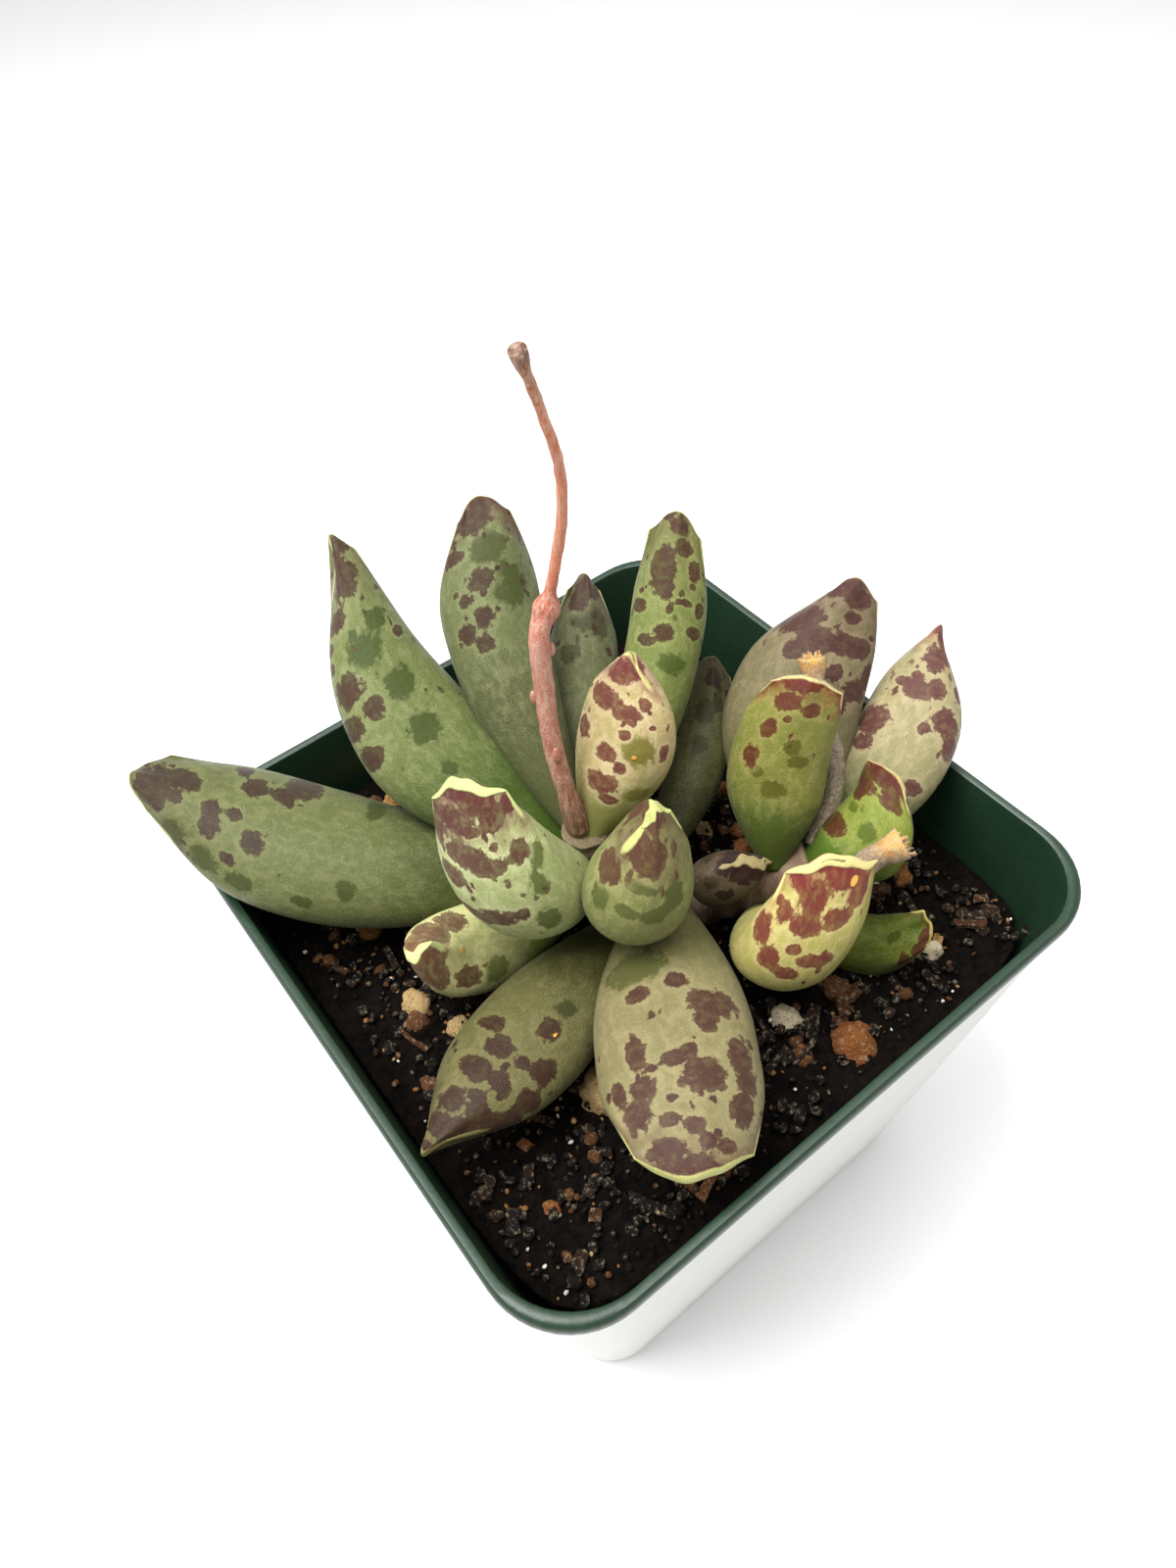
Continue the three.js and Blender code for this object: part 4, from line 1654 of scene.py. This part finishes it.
@dataclass
class Plant:
    """The leaves, stems and stalks."""

    back_stalk: tuple[Point, ...] = (
        (13.6, -11.4, 57),
        (16.6, -10.3, 59.2),
        (18.6, -8.3, 63),
        (19.2, -5, 66.5),
        (20.5, -2.6, 70),
    )
    right_stalk: tuple[Point, ...] = (
        (10.8, -13.5, 56.6),
        (11.5, -15.6, 58.6),
        (12.2, -16.8, 60),
        (13.6, -17.5, 61.3),
        (14.8, -18.1, 62.3),
        (16.1, -18.7, 63),
    )

    def leaves(self) -> list[Leaf]:
        """List the leaves.

        Returns:
            Every leaf with its shape, its colours with painted light and shade, and its markings.
        """
        # Each leaf's tones hold painted light and shade as well as its own colour: leaves that lie in shade,
        # such as leaf_back_short, leaf_right_low and leaf_centre_small, have darker tones, and lit ones,
        # such as leaf_left_small and leaf_left_upright, paler ones.
        return [
            Leaf(
                "leaf_left_low", (-2.5, 3.5, 51.5), 137, 17, 42.5, 13.8, 9,
                sag=1, swing=3.5, tip=0.42, belly=0.6, neck=0.24,
                look_with_painted_light=LeafFinish(
                    seed=1, base="3d4519", body="53592d", mottle="72744b", brown="301a15", olive="343c14",
                    tip="37241a", crest="9da163", tipped=0.25, brown_from=0.5, browned=0.7,
                ),
                marks=Markings(
                    browns=(
                        (0.94, 0.23, 2.5, 3), (0.89, 0.28, 1.8, 1.7), (0.86, 0.27, 1.1, 1.2),
                        (0.88, 0.21, 0.7, 0.8), (0.94, 0.14, 0.9, 0.8), (0.78, 0.38, 1, 1.3),
                        (0.73, 0.31, 1.4, 1.5), (0.67, 0.31, 1.2, 1.1), (0.65, 0.29, 0.7, 0.8),
                        (0.63, 0.36, 1.8, 2.4), (0.8, 0.21, 1, 1.3), (0.8, 0.17, 1.1, 1.4),
                        (0.75, 0.22, 0.8, 0.8), (0.7, 0.17, 1.2, 1.2), (0.75, 0.11, 1, 0.6),
                    ),
                    olives=(
                        (0.82, 0.07, 1.8, 1.3), (0.72, 0.06, 1.5, 1), (0.57, 0.06, 1.1, 0.7),
                        (0.49, 0.11, 1.1, 1.1), (0.47, 0.34, 1, 2.1), (0.91, 0.08, 1.7, 1.4),
                        (0.92, 0.01, 1.2, 1.2),
                    ),
                ),
            ),
            Leaf(
                "leaf_left_tall", (-2.2, 3, 54.5), 99, 38, 37.5, 12.2, 8.3,
                sag=2, swing=4.5, tip=0.12, belly=0.45, neck=0.24, taper=1.6, wave=0.25,
                look_with_painted_light=LeafFinish(
                    seed=2, base="41551c", body="626b38", mottle="868b5e", brown="3b1e1a", olive="364316",
                    tip="45261e", crest="a7aa6c", tipped=0.3, brown_from=0.3, browned=0.6, olived=0.4,
                ),
                marks=Markings(
                    browns=(
                        (0.9, 0.2, 2.3, 2), (0.97, 0.19, 1.3, 1.3), (0.94, 0.03, 0.8, 0.8),
                        (0.84, 0.1, 1, 1.4), (0.85, 0.03, 0.6, 0.7), (0.8, 0.02, 0.6, 0.6),
                        (0.75, 0.02, 0.6, 0.6), (0.67, 0.09, 1.5, 1.8), (0.6, 0.15, 1.2, 1.1),
                        (0.59, 0.04, 1.2, 1.8), (0.51, 0.06, 1.3, 1.7), (0.6, 0.01, 0.8, 0.8),
                        (0.72, 0.35, 0.6, 0.8),
                    ),
                    olives=(
                        (0.77, 0.29, 1.3, 1.3), (0.72, 0.2, 1.8, 2.1), (0.61, 0.25, 1.8, 1.9),
                        (0.49, 0.23, 1.8, 1.8), (0.38, 0.21, 0.9, 0.9), (0.77, 0.18, 0.6, 0.6),
                    ),
                ),
            ),
            Leaf(
                "leaf_back_left", (-1.8, 2.6, 57.5), 73, 42, 32.5, 9.4, 7.6,
                sag=2, swing=2, tip=0.45, belly=0.65, neck=0.26,
                look_with_painted_light=LeafFinish(
                    seed=3, base="4e522f", body="5c623a", mottle="7e8257", brown="371c16", olive="383f15",
                    tip="4f2621", crest="a7aa6a", tip_from=0.86, tipped=0.7, green_until=0.4, olived=0.4,
                ),
                marks=Markings(
                    browns=(
                        (0.98, 0.26, 1.3, 1.4), (0.94, 0.19, 1.4, 2.2), (0.98, 0.09, 0.8, 0.8),
                        (0.94, 0.04, 0.4, 0.9), (0.88, 0.09, 0.7, 1.5), (0.77, 0.22, 1.1, 1.5),
                        (0.73, 0.16, 0.7, 0.8), (0.67, 0.21, 1.1, 1), (0.73, 0.22, 0.4, 0.3),
                        (0.64, 0.14, 1, 1), (0.6, 0.19, 0.9, 1), (0.76, 0.12, 0.3, 0.4),
                    ),
                    olives=(
                        (0.85, 0.26, 1.9, 2.2), (0.74, 0.31, 2.5, 2),
                    ),
                ),
            ),
            Leaf(
                "leaf_left_upright", (-2.6, 1.6, 53.5), 177, 64, 24, 10.6, 9,
                roll=45, sag=4.5, swing=0, tip=0.55, belly=0.5, neck=0.26,
                look_with_painted_light=LeafFinish(
                    seed=4, base="708342", body="9da66a", mottle="ced09d", brown="4b1d1c", olive="505a25",
                    tip="5b2229", crest="bcc37f", tip_from=0.8, tipped=0.75, browned=0.8, brown_from=0.3,
                ),
                marks=Markings(
                    browns=(
                        (0.99, 0.71, 0.6, 2.8), (0.98, 0.83, 0.7, 2.2), (0.94, 0.55, 1.7, 1.8),
                        (0.93, 0.71, 0.8, 2), (0.95, 0.86, 1, 1.1), (0.97, 0.96, 0.7, 0.9),
                        (0.85, 0.72, 0.9, 2.5), (0.82, 0.79, 0.7, 1.8), (0.78, 0.64, 1, 1.7),
                        (0.88, 0.83, 0.3, 0.4), (0.84, 0.9, 0.9, 0.9), (0.64, 0.64, 0.6, 1.5),
                        (0.63, 0.74, 1.2, 2), (0.63, 0.81, 0.8, 1), (0.61, 0.67, 0.7, 1),
                        (0.59, 0.69, 0.8, 0.8), (0.91, 0.76, 0.3, 1),
                    ),
                    olives=(
                        (0.79, 0.94, 1.1, 1), (0.7, 0.9, 1.3, 0.9), (0.54, 0.86, 2, 1.2),
                    ),
                ),
            ),
            Leaf(
                "leaf_left_small", (-2.9, 0.9, 51.7), -175.6, 29.7, 22.2, 6.4, 8.3,
                roll=50, sag=1.7, swing=-5, tip=0.4, belly=0.58, neck=0.26,
                look_with_painted_light=LeafFinish(
                    seed=5, base="93ab4b", body="bcbc7b", mottle="f5f0b1", brown="62392b", olive="626f2f",
                    tip="724a37", crest="c4cf89", tipped=0.4, browned=0.9, brown_from=0.3,
                ),
                marks=Markings(
                    browns=(
                        (0.86, 0.15, 2.3, 2), (0.7, 0.14, 2.3, 1.5), (0.96, 0.18, 1.4, 1.4),
                        (0.98, 0.89, 2.5, 2.9), (0.89, 0.84, 2, 1.2), (0.72, 0.89, 1.9, 1.3),
                        (0.98, 0.81, 0.8, 1),
                    ),
                    olives=(
                        (0.54, 0.9, 1.7, 1.5),
                    ),
                    dots=(
                        (0.75, 0, 0.4, 0.3),
                    ),
                ),
            ),
            Leaf(
                "leaf_front_left", (-0.5, -3.2, 50), -162, 13, 31.5, 10.6, 6.8,
                sag=0.3, swing=0.3, tip=0.12, belly=0.55, neck=0.26, wave=0.25,
                look_with_painted_light=LeafFinish(
                    seed=6, base="3b3d0f", body="525027", mottle="716943", brown="2d130f", olive="2c2f0c",
                    tip="3a1e17", crest="8f8750", tip_from=0.85, tipped=0.5, browned=0.85, brown_from=0.3,
                ),
                marks=Markings(
                    browns=(
                        (0.64, 0.32, 0.9, 1.5), (0.69, 0.26, 1.2, 1.4), (0.57, 0.19, 1.3, 1.1),
                        (0.77, 0.27, 1.2, 1.9), (0.69, 0.18, 0.7, 0.7), (0.67, 0.12, 1.4, 1.2),
                        (0.77, 0.19, 1, 1.2), (0.83, 0.21, 0.7, 0.9), (0.8, 0.15, 0.6, 0.4),
                        (0.87, 0.28, 1.2, 1.2), (0.87, 0.15, 1.2, 1.2), (0.76, 0.07, 1.1, 1.2),
                        (0.83, 0.03, 1, 1.1), (0.93, 0.25, 1.1, 1.5), (0.94, 0.11, 1.3, 1.3),
                        (0.89, 0.03, 1.2, 1.2), (0.99, 0.22, 0.6, 0.9),
                    ),
                    olives=(
                        (0.49, 0.19, 1.2, 1),
                    ),
                    dots=(
                        (0.57, 0.17, 0.3, 0.3),
                    ),
                ),
            ),
            Leaf(
                "leaf_front_large", (1.8, -3.6, 52.5), -125, 16, 31.5, 13.2, 8.6,
                sag=0.8, swing=-0.3, tip=0.6, belly=0.56, neck=0.26,
                look_with_painted_light=LeafFinish(
                    seed=7, base="5e5e33", body="746c45", mottle="918761", brown="3b1b1a", olive="464920",
                    tip="4c2920", crest="b1b16e", tip_from=0.9, tipped=0.4, browned=0.9, brown_from=0.3,
                    brown_size=2.8,
                ),
                marks=Markings(
                    browns=(
                        (0.49, 0.24, 1, 1.1), (0.52, 0.32, 1, 1.1), (0.56, 0.17, 1.5, 2.3),
                        (0.62, 0.19, 1.3, 1.1), (0.7, 0.34, 2, 0.9), (0.78, 0.21, 1.7, 2),
                        (0.73, 0.26, 0.9, 1.3), (0.71, 0.23, 0.9, 0.7), (0.72, 0.12, 2, 1.2),
                        (0.8, 0.1, 1.3, 1.1), (0.8, 0.34, 1.1, 1.2), (0.87, 0.37, 1.4, 1.3),
                        (0.83, 0.28, 0.4, 0.6), (0.88, 0.29, 0.6, 1), (0.9, 0.24, 0.8, 0.8),
                        (0.88, 0.11, 1.8, 1.3), (0.94, 0.21, 0.8, 0.8), (0.96, 0.16, 0.6, 0.8),
                        (0.95, 0.32, 0.9, 1.8), (0.98, 0.28, 0.8, 2.3), (0.99, 0.22, 0.4, 1.7),
                        (0.81, 0.41, 1.4, 0.7), (0.75, 0.31, 0.4, 0.7),
                    ),
                    olives=(
                        (0.42, 0.33, 2.3, 3.1),
                    ),
                ),
            ),
            Leaf(
                "leaf_centre_front", (-0.3, -2.8, 56.6), -110, 71, 17.5, 9.3, 8.9,
                roll=10, sag=3.4, swing=-2.6, tip=0.18, belly=0.5, neck=0.26,
                look_with_painted_light=LeafFinish(
                    seed=8, base="5d682b", body="71753d", mottle="9d9c67", brown="4a281e", olive="495121",
                    tip="4d2a23", crest="babe75", tip_from=0.7, tipped=0.6,
                ),
                marks=Markings(
                    browns=(
                        (1, 0.63, 0.7, 1.3), (0.91, 0.64, 1, 1.9), (0.83, 0.49, 0.8, 1.9),
                        (0.91, 0.72, 0.9, 1.1),
                    ),
                    olives=(
                        (0.72, 0.52, 1.2, 1), (0.75, 0.79, 1.5, 1.2), (0.72, 0.62, 0.6, 1.2),
                        (0.7, 0.72, 0.9, 1.7), (0.82, 0.64, 0.4, 1.8),
                    ),
                ),
            ),
            Leaf(
                "leaf_centre_back", (-1.4, 2, 58.5), 16, 69, 18.7, 9, 7.5,
                sag=1.5, swing=-0.7, tip=0.15, belly=0.52, neck=0.28, wave=0.25,
                look_with_painted_light=LeafFinish(
                    seed=9, base="928f51", body="b9a771", mottle="e3cfa6", brown="632525", olive="726b24",
                    tip="7a243b", crest="d1c881", tip_from=0.82, tipped=0.6, browned=0.7,
                ),
                marks=Markings(
                    browns=(
                        (0.93, 0.24, 1.1, 2), (0.98, 0.44, 0.8, 1.3), (0.8, 0.19, 1.3, 1.9),
                        (0.59, 0.14, 1.2, 1.2), (0.77, 0.28, 1.1, 0.7), (0.76, 0.33, 1.1, 0.9),
                        (0.83, 0.4, 0.7, 0.7), (0.72, 0.41, 0.3, 0.4), (0.54, 0.26, 1, 1.1),
                        (0.49, 0.31, 0.7, 0.7), (0.38, 0.27, 1.2, 1.7), (0.66, 0.31, 0.6, 0.6),
                        (0.58, 0.46, 0.9, 0.6), (0.3, 0.31, 0.7, 1),
                    ),
                    olives=(
                        (0.59, 0.36, 1.7, 1.7), (0.35, 0.41, 0.9, 1.7),
                    ),
                    dots=(
                        (0.56, 0.35, 0.3, 0.3),
                    ),
                ),
            ),
            Leaf(
                "leaf_back_small", (-1.4, 3, 54), 51, 36, 27, 6.8, 5.4,
                sag=2, swing=0.3, tip=0.35, belly=0.62, neck=0.26,
                look_with_painted_light=LeafFinish(
                    seed=10, base="454b28", body="525634", mottle="777654", brown="39211b",
                    olive="383a1f", tip="423028", crest="aeb26f", olived=0.6,
                ),
                marks=Markings(
                    browns=(
                        (0.95, 0.31, 1.4, 1.7), (0.9, 0.22, 1.4, 1.3),
                    ),
                    olives=(
                        (0.83, 0.28, 1.4, 1.9), (0.71, 0.19, 1.4, 1.3), (0.83, 0.36, 1.8, 1.2),
                    ),
                ),
            ),
            Leaf(
                "leaf_back_tall", (-1, 1.8, 55), 31, 43, 32.3, 7.1, 6.2,
                sag=2.5, swing=-1, tip=0.6, belly=0.6, neck=0.28,
                look_with_painted_light=LeafFinish(
                    seed=11, base="566527", body="677134", mottle="8e915a", brown="3d1e18",
                    olive="3b4a16", tip="46251c", crest="a9ac6b", tipped=0.4, browned=0.75,
                    brown_stretch=2.4,
                ),
                marks=Markings(
                    browns=(
                        (1, 0.18, 0.9, 1.1), (0.96, 0.28, 0.8, 1.3), (0.84, 0.22, 2.6, 1.5),
                        (0.78, 0.26, 1.2, 0.7), (0.91, 0.32, 0.9, 1.1), (0.87, 0.39, 1.2, 0.8),
                        (0.78, 0.12, 0.3, 0.6), (0.73, 0.12, 0.8, 1.2), (0.73, 0.28, 0.6, 0.4),
                        (0.76, 0.34, 0.4, 0.9), (0.82, 0.38, 0.3, 0.4), (0.63, 0.2, 0.6, 1.1),
                        (0.66, 0.27, 0.9, 1.1), (0.68, 0.41, 0.7, 0.9), (0.76, 0.43, 0.9, 0.6),
                    ),
                    olives=(
                        (0.58, 0.33, 1.2, 1.5),
                    ),
                ),
            ),
            Leaf(
                "leaf_back_short", (1.4, -2, 53), 31, 23, 23, 6, 4.2,
                sag=1.5, swing=-1.3, tip=0.6, belly=0.6, neck=0.28,
                look_with_painted_light=LeafFinish(
                    seed=12, base="2c2f0c", body="373814", mottle="534f25", brown="251207",
                    olive="262708", tip="311f0c", crest="837e4e", olived=0.5,
                ),
                marks=Markings(
                    browns=(
                        (0.9, 0.28, 1.3, 1),
                    ),
                    olives=(
                        (0.74, 0.25, 1.4, 1.1), (0.8, 0.32, 1.4, 0.7), (0.6, 0.26, 1.2, 0.9),
                    ),
                ),
            ),
            Leaf(
                "leaf_right_broad", (12, -10.5, 53.5), 33, 38, 28, 12.8, 8.3,
                sag=2, swing=3.3, tip=0.3, belly=0.5, neck=0.24,
                look_with_painted_light=LeafFinish(
                    seed=13, base="5d5b30", body="665f3d", mottle="8d7d60", brown="3f1d1e",
                    olive="353914", tip="4f2f2e", crest="b29a60", tip_from=0.6, tipped=0.35, brown_size=3.0,
                    browned=0.8,
                ),
                marks=Markings(
                    browns=(
                        (0.96, 0.2, 1.3, 2.3), (0.84, 0.15, 1.8, 2.6), (0.94, 0.32, 1.3, 1.5),
                        (0.76, 0.25, 1.5, 2), (0.77, 0.32, 1.3, 1.4), (0.78, 0.38, 1.1, 1.7),
                        (0.72, 0.21, 1.3, 1.1), (0.67, 0.33, 1, 1.1), (0.87, 0.33, 0.7, 0.9),
                        (0.84, 0.24, 0.4, 0.6), (0.63, 0.41, 1.2, 1.7), (0.57, 0.37, 1, 0.8),
                        (0.69, 0.47, 1.5, 1.4),
                    ),
                ),
            ),
            Leaf(
                "leaf_right_upright", (9.8, -10.2, 56), 33, 65, 18.7, 8.8, 7,
                sag=1.5, swing=1.3, tip=0.6, belly=0.42, neck=0.26,
                look_with_painted_light=LeafFinish(
                    seed=14, base="435217", body="71732d", mottle="9a9055", brown="521713",
                    olive="4f4d14", tip="6b1f16", crest="c2b37e", tip_from=0.82, tipped=0.7,
                ),
                marks=Markings(
                    browns=(
                        (0.97, 0.23, 0.8, 2.1), (0.89, 0.21, 1, 1.4), (0.99, 0.28, 0.3, 1.7),
                        (0.75, 0.19, 1.1, 0.8), (0.59, 0.16, 1.2, 0.9), (0.87, 0.32, 0.8, 0.8),
                        (0.81, 0.24, 0.4, 0.4),
                    ),
                    olives=(
                        (0.53, 0.19, 0.7, 0.8), (0.68, 0.29, 0.9, 1), (0.61, 0.32, 0.7, 1.1),
                        (0.46, 0.26, 1, 1.4),
                    ),
                ),
            ),
            Leaf(
                "leaf_right_pointed", (12.6, -11.4, 54.4), 15, 27, 26.6, 9.6, 6.8,
                sag=2, swing=-2, tip=0.12, belly=0.55, neck=0.24, wave=0.25,
                look_with_painted_light=LeafFinish(
                    seed=15, base="67703c", body="8c845b", mottle="b3a47f", brown="4f2025",
                    olive="434a1b", tip="7a2636", crest="caae70", tip_from=0.86, tipped=0.7, browned=0.85,
                    brown_from=0.2,
                ),
                marks=Markings(
                    browns=(
                        (0.96, 0.29, 1.2, 0.7), (0.86, 0.27, 1.5, 1.2), (0.93, 0.38, 1.3, 1.3),
                        (0.78, 0.22, 0.6, 0.8), (0.74, 0.24, 1.3, 1.7), (0.77, 0.31, 1.1, 1.1),
                        (0.58, 0.14, 1.8, 2), (0.68, 0.38, 1.4, 1.7), (0.62, 0.31, 0.7, 0.7),
                        (0.83, 0.45, 1.1, 0.7), (0.61, 0.44, 1.3, 1.3), (0.49, 0.15, 0.9, 1.4),
                        (0.42, 0.38, 0.8, 1.2), (0.75, 0.18, 0.6, 0.9),
                    ),
                ),
            ),
            Leaf(
                "leaf_right_middle", (12.6, -12, 55.3), -9, 46, 11.8, 8, 6,
                sag=1, swing=-2, tip=0.55, belly=0.42, neck=0.34,
                look_with_painted_light=LeafFinish(
                    seed=16, base="455f13", body="6d7b23", mottle="909348", brown="490f11",
                    olive="495711", tip="5b1118", crest="beb175", tip_from=0.86, tipped=0.6,
                ),
                marks=Markings(
                    browns=(
                        (0.96, 0.19, 1.2, 1.9), (0.99, 0.31, 1, 1.9), (0.82, 0.14, 1, 1.5),
                        (0.73, 0.14, 0.7, 1), (0.43, 0.16, 1.2, 1.9), (1, 0.56, 0.3, 1),
                        (0.86, 0.31, 0.9, 1.5),
                    ),
                    olives=(
                        (0.63, 0.17, 0.6, 0.8), (0.57, 0.29, 1, 1),
                    ),
                ),
            ),
            Leaf(
                "leaf_right_front", (8.5, -10.5, 50.8), -87, 65, 17, 9.8, 7.5,
                roll=-31, sag=5.2, swing=-1.9, tip=0.78, belly=0.5, neck=0.26,
                look_with_painted_light=LeafFinish(
                    seed=17, base="868936", body="aaa253", mottle="d1c086", brown="65161f",
                    olive="434b1e", tip="7a1e2a", crest="cfc382", tip_from=0.9, tipped=0.4, browned=0.85,
                    brown_from=0.2,
                ),
                marks=Markings(
                    browns=(
                        (1, 0.69, 0.4, 2.3), (0.97, 0.79, 0.6, 2.1), (0.98, 0.61, 0.6, 1),
                        (0.92, 0.69, 0.9, 1.3), (0.85, 0.68, 0.6, 1.7), (0.87, 0.78, 0.6, 1.5),
                        (0.89, 0.59, 0.6, 0.7), (0.92, 0.55, 0.3, 0.3), (0.79, 0.53, 1.1, 1.2),
                        (0.69, 0.61, 1.1, 1), (0.77, 0.67, 0.4, 0.9), (0.72, 0.75, 0.6, 1.8),
                        (0.65, 0.68, 0.7, 1.2), (0.94, 0.85, 0.8, 1.1),
                    ),
                    dots=(
                        (0.96, 0.82, 0.3, 0.4),
                    ),
                ),
            ),
            Leaf(
                "leaf_right_low", (9.5, -11, 52), -64, 12, 14.8, 6, 4.3,
                roll=60, sag=1.8, swing=-3.5, tip=0.6, belly=0.6, neck=0.3,
                look_with_painted_light=LeafFinish(
                    seed=18, base="2f4204", body="46520c", mottle="676a21", brown="3c0c05",
                    olive="343a05", tip="451107", crest="b0a15a", tip_from=0.93, tipped=0.5, browned=0.3,
                    olived=0.1,
                ),
                marks=Markings(
                    browns=(
                        (0.97, 0.24, 0.7, 1.3), (0.94, 0.29, 0.7, 0.7), (0.88, 0.36, 0.6, 1.3),
                        (1, 0.15, 0.3, 0.7),
                    ),
                    olives=(
                        (0.79, 0.17, 0.8, 0.6),
                    ),
                ),
            ),
            Leaf(
                "leaf_centre_small", (5.4, -6.8, 52.5), -58, 58, 7.7, 6.4, 4.8,
                roll=-50, sag=0.3, swing=-1.8, tip=0.55, belly=0.6, neck=0.28,
                look_with_painted_light=LeafFinish(
                    seed=19, base="342b14", body="3f321f", mottle="574533", brown="1f0608",
                    olive="29210d", tip="230709", crest="9e8f62", tip_from=0.8, tipped=0.6,
                ),
                marks=Markings(
                    browns=(
                        (1, 0.41, 1.1, 2.9), (0.92, 0.52, 0.3, 1.1), (0.87, 0.71, 0.3, 0.8),
                        (0.71, 0.68, 0.6, 1),
                    ),
                    olives=(
                        (0.78, 0.55, 0.6, 0.8), (0.72, 0.34, 0.9, 1.2),
                    ),
                ),
            ),
        ]

    def build(self) -> list[bpy.types.Object]:
        """Grow every piece of the plant.

        Returns:
            The pieces.
        """
        pieces = [Stems().build(), FlowerStalk().build()]
        pieces.append(CutStalk("cut_stalk_back", self.back_stalk, radius=0.9, seed=5).build())
        pieces.append(CutStalk("cut_stalk_right", self.right_stalk, radius=1.1, seed=9).build())
        return pieces + [leaf.build() for leaf in self.leaves()]


# Studio


@dataclass
class Studio:
    """Pale floor, soft light and the camera."""

    floor_size: float = 3000.0
    floor_tone: float = 0.88
    sky_strength: float = 0.6
    eye: Point = (-34.15, -46.48, 138.58)
    right: Point = (0.787, -0.614, -0.055)
    ahead: Point = (0.350, 0.518, -0.781)
    lens: float = 24.75
    film: float = 36.0
    nearest: float = 5.0
    farthest: float = 20000.0

    def build(self) -> None:
        """Set the floor, the lights and the camera."""
        bpy.context.scene.view_settings.view_transform = "Standard"
        self._floor()
        self._sky()
        self._lamp("window", (-150, 90, 440), 260, 2.35)
        self._lamp("ceiling", (20, 20, 520), 420, 1.9)
        self._camera()

    def _floor(self) -> None:
        """Lay a wide pale floor."""
        bm = bmesh.new()
        bmesh.ops.create_grid(bm, x_segments=1, y_segments=1, size=self.floor_size * MM)
        mesh = bpy.data.meshes.new("floor")
        bm.to_mesh(mesh)
        bm.free()
        floor = bpy.data.objects.new("floor", mesh)
        bpy.context.scene.collection.objects.link(floor)
        material, _, shader = new_material("pale_floor", 0.8)
        shader.inputs["Base Color"].default_value = (*[self.floor_tone] * 3, 1)
        mesh.materials.append(material)

    def _sky(self) -> None:
        """Light the room evenly."""
        world = bpy.data.worlds.new("room")
        world.use_nodes = True
        back = world.node_tree.nodes["Background"]
        back.inputs["Color"].default_value = (1.0, 1.0, 1.0, 1)
        back.inputs["Strength"].default_value = self.sky_strength
        bpy.context.scene.world = world

    def _lamp(self, name: str, at: Point, size: float, power: float) -> None:
        """Hang a broad lamp that looks at the plant.

        Args:
            name: The lamp's name.
            at: Its place in millimetres.
            size: Its width in millimetres.
            power: Its power in watts.
        """
        light = bpy.data.lights.new(name, "AREA")
        light.size = size * MM
        light.energy = power
        lamp = bpy.data.objects.new(name, light)
        lamp.location = Vector(at) * MM
        aim = Vector((0, 0, 50)) * MM - lamp.location
        lamp.rotation_euler = aim.to_track_quat("-Z", "Y").to_euler()
        bpy.context.scene.collection.objects.link(lamp)

    def _camera(self) -> None:
        """Place the camera above the pot's front corner."""
        data = bpy.data.cameras.new("camera")
        data.sensor_width = self.film
        data.lens = self.lens
        data.clip_start = self.nearest * MM
        data.clip_end = self.farthest * MM
        camera = bpy.data.objects.new("camera", data)
        x = Vector(self.right).normalized()
        z = -Vector(self.ahead).normalized()
        y = z.cross(x).normalized()
        x = y.cross(z)
        turn = Matrix((x, y, z)).transposed().to_4x4()
        camera.matrix_world = Matrix.Translation(Vector(self.eye) * MM) @ turn
        bpy.context.scene.collection.objects.link(camera)
        bpy.context.scene.camera = camera


def main() -> None:
    """Build the pot, the mix, the plant and the studio, and report each piece."""
    logging.basicConfig(level=logging.INFO, format="%(message)s")
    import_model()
    pot = Pot()
    pot.build()
    Soil(pot).build()
    Plant().build()
    Studio().build()


if __name__ == "__main__":
    main()
